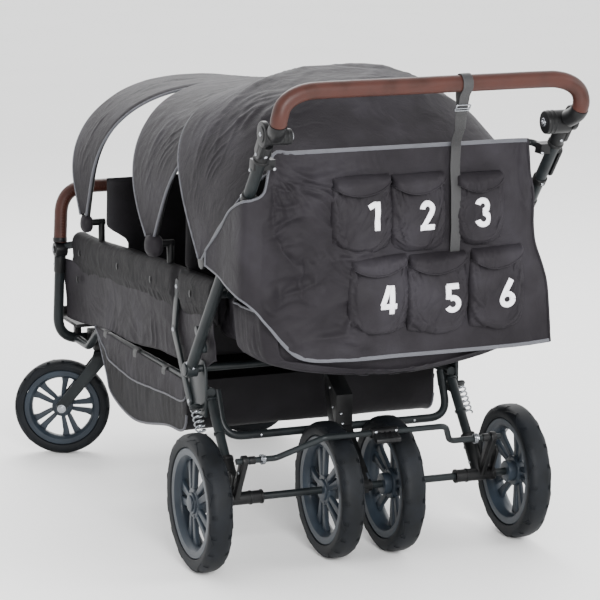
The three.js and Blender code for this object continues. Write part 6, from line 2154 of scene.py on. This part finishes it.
class PUSHCHAIR_OT_basket(bpy.types.Operator):
    """The shopping basket hung between the lower rails"""
    bl_idname = "pushchair.basket"
    bl_label = "Basket"

    def execute(self, context):
        look = context.scene.pushchair_cloth
        run = resample(smooth_run([Vector((0, y, z)) for y, z in BASKET], 14), 160)

        def floor(u, v):
            p = run[round(v * 160)]
            x = 296 * (2 * u - 1)
            deep = sin(pi * u) * sin(pi * v)
            wave = 3.0 * drift(x * 0.012, p.y * 0.012, 4) + 1.4 * drift(x * 0.04, p.y * 0.03, 8)
            low = 2.5 + (wave + 2.0) * deep
            z = max(min(p.z + low, 345), p.z + 0.5) if p.z < 340 else min(p.z, 345)
            y = p.y + (2 if v < 0.3 else -2) * deep
            return at(x, y, z)

        base = cloth_sheet("basket-floor", 100, 160, floor, (0.594, 0.98), LINING, wall=look.cloth_wall)
        hang(base, 0.594, "hung", ["lower_rail_left", "lower_rail_right"], "basket")
        for name, sign in SIDES:
            basket_side(name, sign, look, run)
        return {"FINISHED"}


# Small fittings

class PUSHCHAIR_OT_fittings(bpy.types.Operator):
    """The clips on the axle, outside both legs"""
    bl_idname = "pushchair.fittings"
    bl_label = "Fittings"

    def execute(self, context):
        bm = bmesh.new()
        for sign in (1, -1):
            x0 = 304.5 if sign > 0 else -309.5
            plate(bm, bar_outline((0, AXLE_Z), (30, AXLE_Z + 58), 24), x0, x0 + 5, 0.8)
        finish_piece("axle-clips", bm, NYLON)
        return {"FINISHED"}


# Stage

def lamp(name, place, size, power):
    data = bpy.data.lights.new(name, "AREA")
    data.size = size
    data.energy = power
    obj = new_object(name, data)
    obj.location = place
    obj.rotation_euler = (Vector((0, 0, 0.5)) - Vector(place)).to_track_quat("-Z", "Y").to_euler()


class PUSHCHAIR_OT_stage(bpy.types.Operator):
    """The floor, the lights, the world and the camera"""
    bl_idname = "pushchair.stage"
    bl_label = "Stage"

    def execute(self, context):
        scene = context.scene
        look = scene.pushchair_stage
        tree, shader, place = new_material("painted studio floor")
        cloud = add_node(tree, "ShaderNodeTexNoise", {"Vector": place}, scale=1.5, detail=3.0)
        tint = ramp(
            tree, cloud.outputs["Fac"],
            ((0.3, (*(c * 0.98 for c in look.floor), 1.0)), (0.7, (*look.floor, 1.0)))
        )
        tree.links.new(tint, shader.inputs["Base Color"])
        shader.inputs["Roughness"].default_value = 0.6
        bm = bmesh.new()
        bmesh.ops.create_grid(bm, x_segments=2, y_segments=2, size=14)
        mesh = bpy.data.meshes.new("floor")
        bm.to_mesh(mesh)
        bm.free()
        mesh.materials.append(MATERIALS["painted studio floor"])
        new_object("floor", mesh)

        world = bpy.data.worlds.new("studio")
        world.use_nodes = True
        tree = world.node_tree
        background = tree.nodes["Background"]
        direction = add_node(tree, "ShaderNodeTexCoord")
        parts = add_node(tree, "ShaderNodeSeparateXYZ", {"Vector": direction.outputs["Generated"]})
        bright = add_node(
            tree, "ShaderNodeMapRange", {"Value": parts.outputs["Y"]}, from_min=-0.35, from_max=0.7,
            to_min=2.8, to_max=1.1
        )
        above = add_node(
            tree, "ShaderNodeMapRange", {"Value": parts.outputs["Z"]}, from_min=0.2, from_max=1.0,
            to_min=1.0, to_max=0.7
        )
        both = add_node(
            tree, "ShaderNodeMath", {0: bright.outputs["Result"], 1: above.outputs["Result"]},
            operation="MULTIPLY"
        )
        tree.links.new(both.outputs[0], background.inputs["Strength"])
        background.inputs["Color"].default_value = (1.0, 1.0, 1.0, 1.0)
        scene.world = world
        lamp("key", (0.9, 5.4, 2.3), 2.0, look.key * 2.0)
        lamp("fill", (-3.2, 2.6, 2.4), 2.0, look.key * 0.4)
        lamp("rim", (-0.5, -3.0, 3.2), 2.2, look.key * 0.5)

        camera = bpy.data.cameras.new("camera")
        camera.lens = look.lens
        camera.sensor_width = 36
        obj = new_object("camera", camera)
        obj.location = (2.3293, 5.9599, 1.744)
        obj.rotation_euler = Vector((-0.3634, -0.9113, -0.1935)).to_track_quat("-Z", "Y").to_euler()
        scene.camera = obj
        return {"FINISHED"}


# Panel, registration and the run

class PUSHCHAIR_PT_panel(bpy.types.Panel):
    """The pushchair's settings and pieces"""
    bl_label = "Pushchair"
    bl_idname = "PUSHCHAIR_PT_panel"
    bl_space_type = "VIEW_3D"
    bl_region_type = "UI"
    bl_category = "Pushchair"

    def draw(self, context):
        layout = self.layout
        for group in (
            context.scene.pushchair_cloth, context.scene.pushchair_frame, context.scene.pushchair_stage
        ):
            for key in group.__annotations__:
                layout.prop(group, key)
        for operator in OPERATORS:
            layout.operator(operator.bl_idname)


GROUPS = (ClothSettings, FrameSettings, StageSettings)
OPERATORS = (
    PUSHCHAIR_OT_materials, PUSHCHAIR_OT_stage, PUSHCHAIR_OT_wheels, PUSHCHAIR_OT_running_gear,
    PUSHCHAIR_OT_frame, PUSHCHAIR_OT_brake, PUSHCHAIR_OT_bumper, PUSHCHAIR_OT_handle,
    PUSHCHAIR_OT_hoods, PUSHCHAIR_OT_panel, PUSHCHAIR_OT_strap, PUSHCHAIR_OT_walls,
    PUSHCHAIR_OT_seats, PUSHCHAIR_OT_tub, PUSHCHAIR_OT_basket, PUSHCHAIR_OT_fittings,
)


def register():
    for cls in (*GROUPS, *OPERATORS, PUSHCHAIR_PT_panel):
        bpy.utils.register_class(cls)
    bpy.types.Scene.pushchair_cloth = PointerProperty(type=ClothSettings)
    bpy.types.Scene.pushchair_frame = PointerProperty(type=FrameSettings)
    bpy.types.Scene.pushchair_stage = PointerProperty(type=StageSettings)


def unregister():
    del bpy.types.Scene.pushchair_cloth
    del bpy.types.Scene.pushchair_frame
    del bpy.types.Scene.pushchair_stage
    for cls in reversed((*GROUPS, *OPERATORS, PUSHCHAIR_PT_panel)):
        bpy.utils.unregister_class(cls)


def main():
    register()
    bpy.ops.pushchair.materials()
    bpy.ops.pushchair.stage()
    bpy.ops.pushchair.wheels()
    bpy.ops.pushchair.running_gear()
    bpy.ops.pushchair.frame()
    bpy.ops.pushchair.brake()
    bpy.ops.pushchair.bumper()
    bpy.ops.pushchair.handle()
    bpy.ops.pushchair.hoods()
    bpy.ops.pushchair.panel()
    bpy.ops.pushchair.strap()
    bpy.ops.pushchair.walls()
    bpy.ops.pushchair.seats()
    bpy.ops.pushchair.tub()
    bpy.ops.pushchair.basket()
    bpy.ops.pushchair.fittings()


if __name__ == "__main__":
    main()
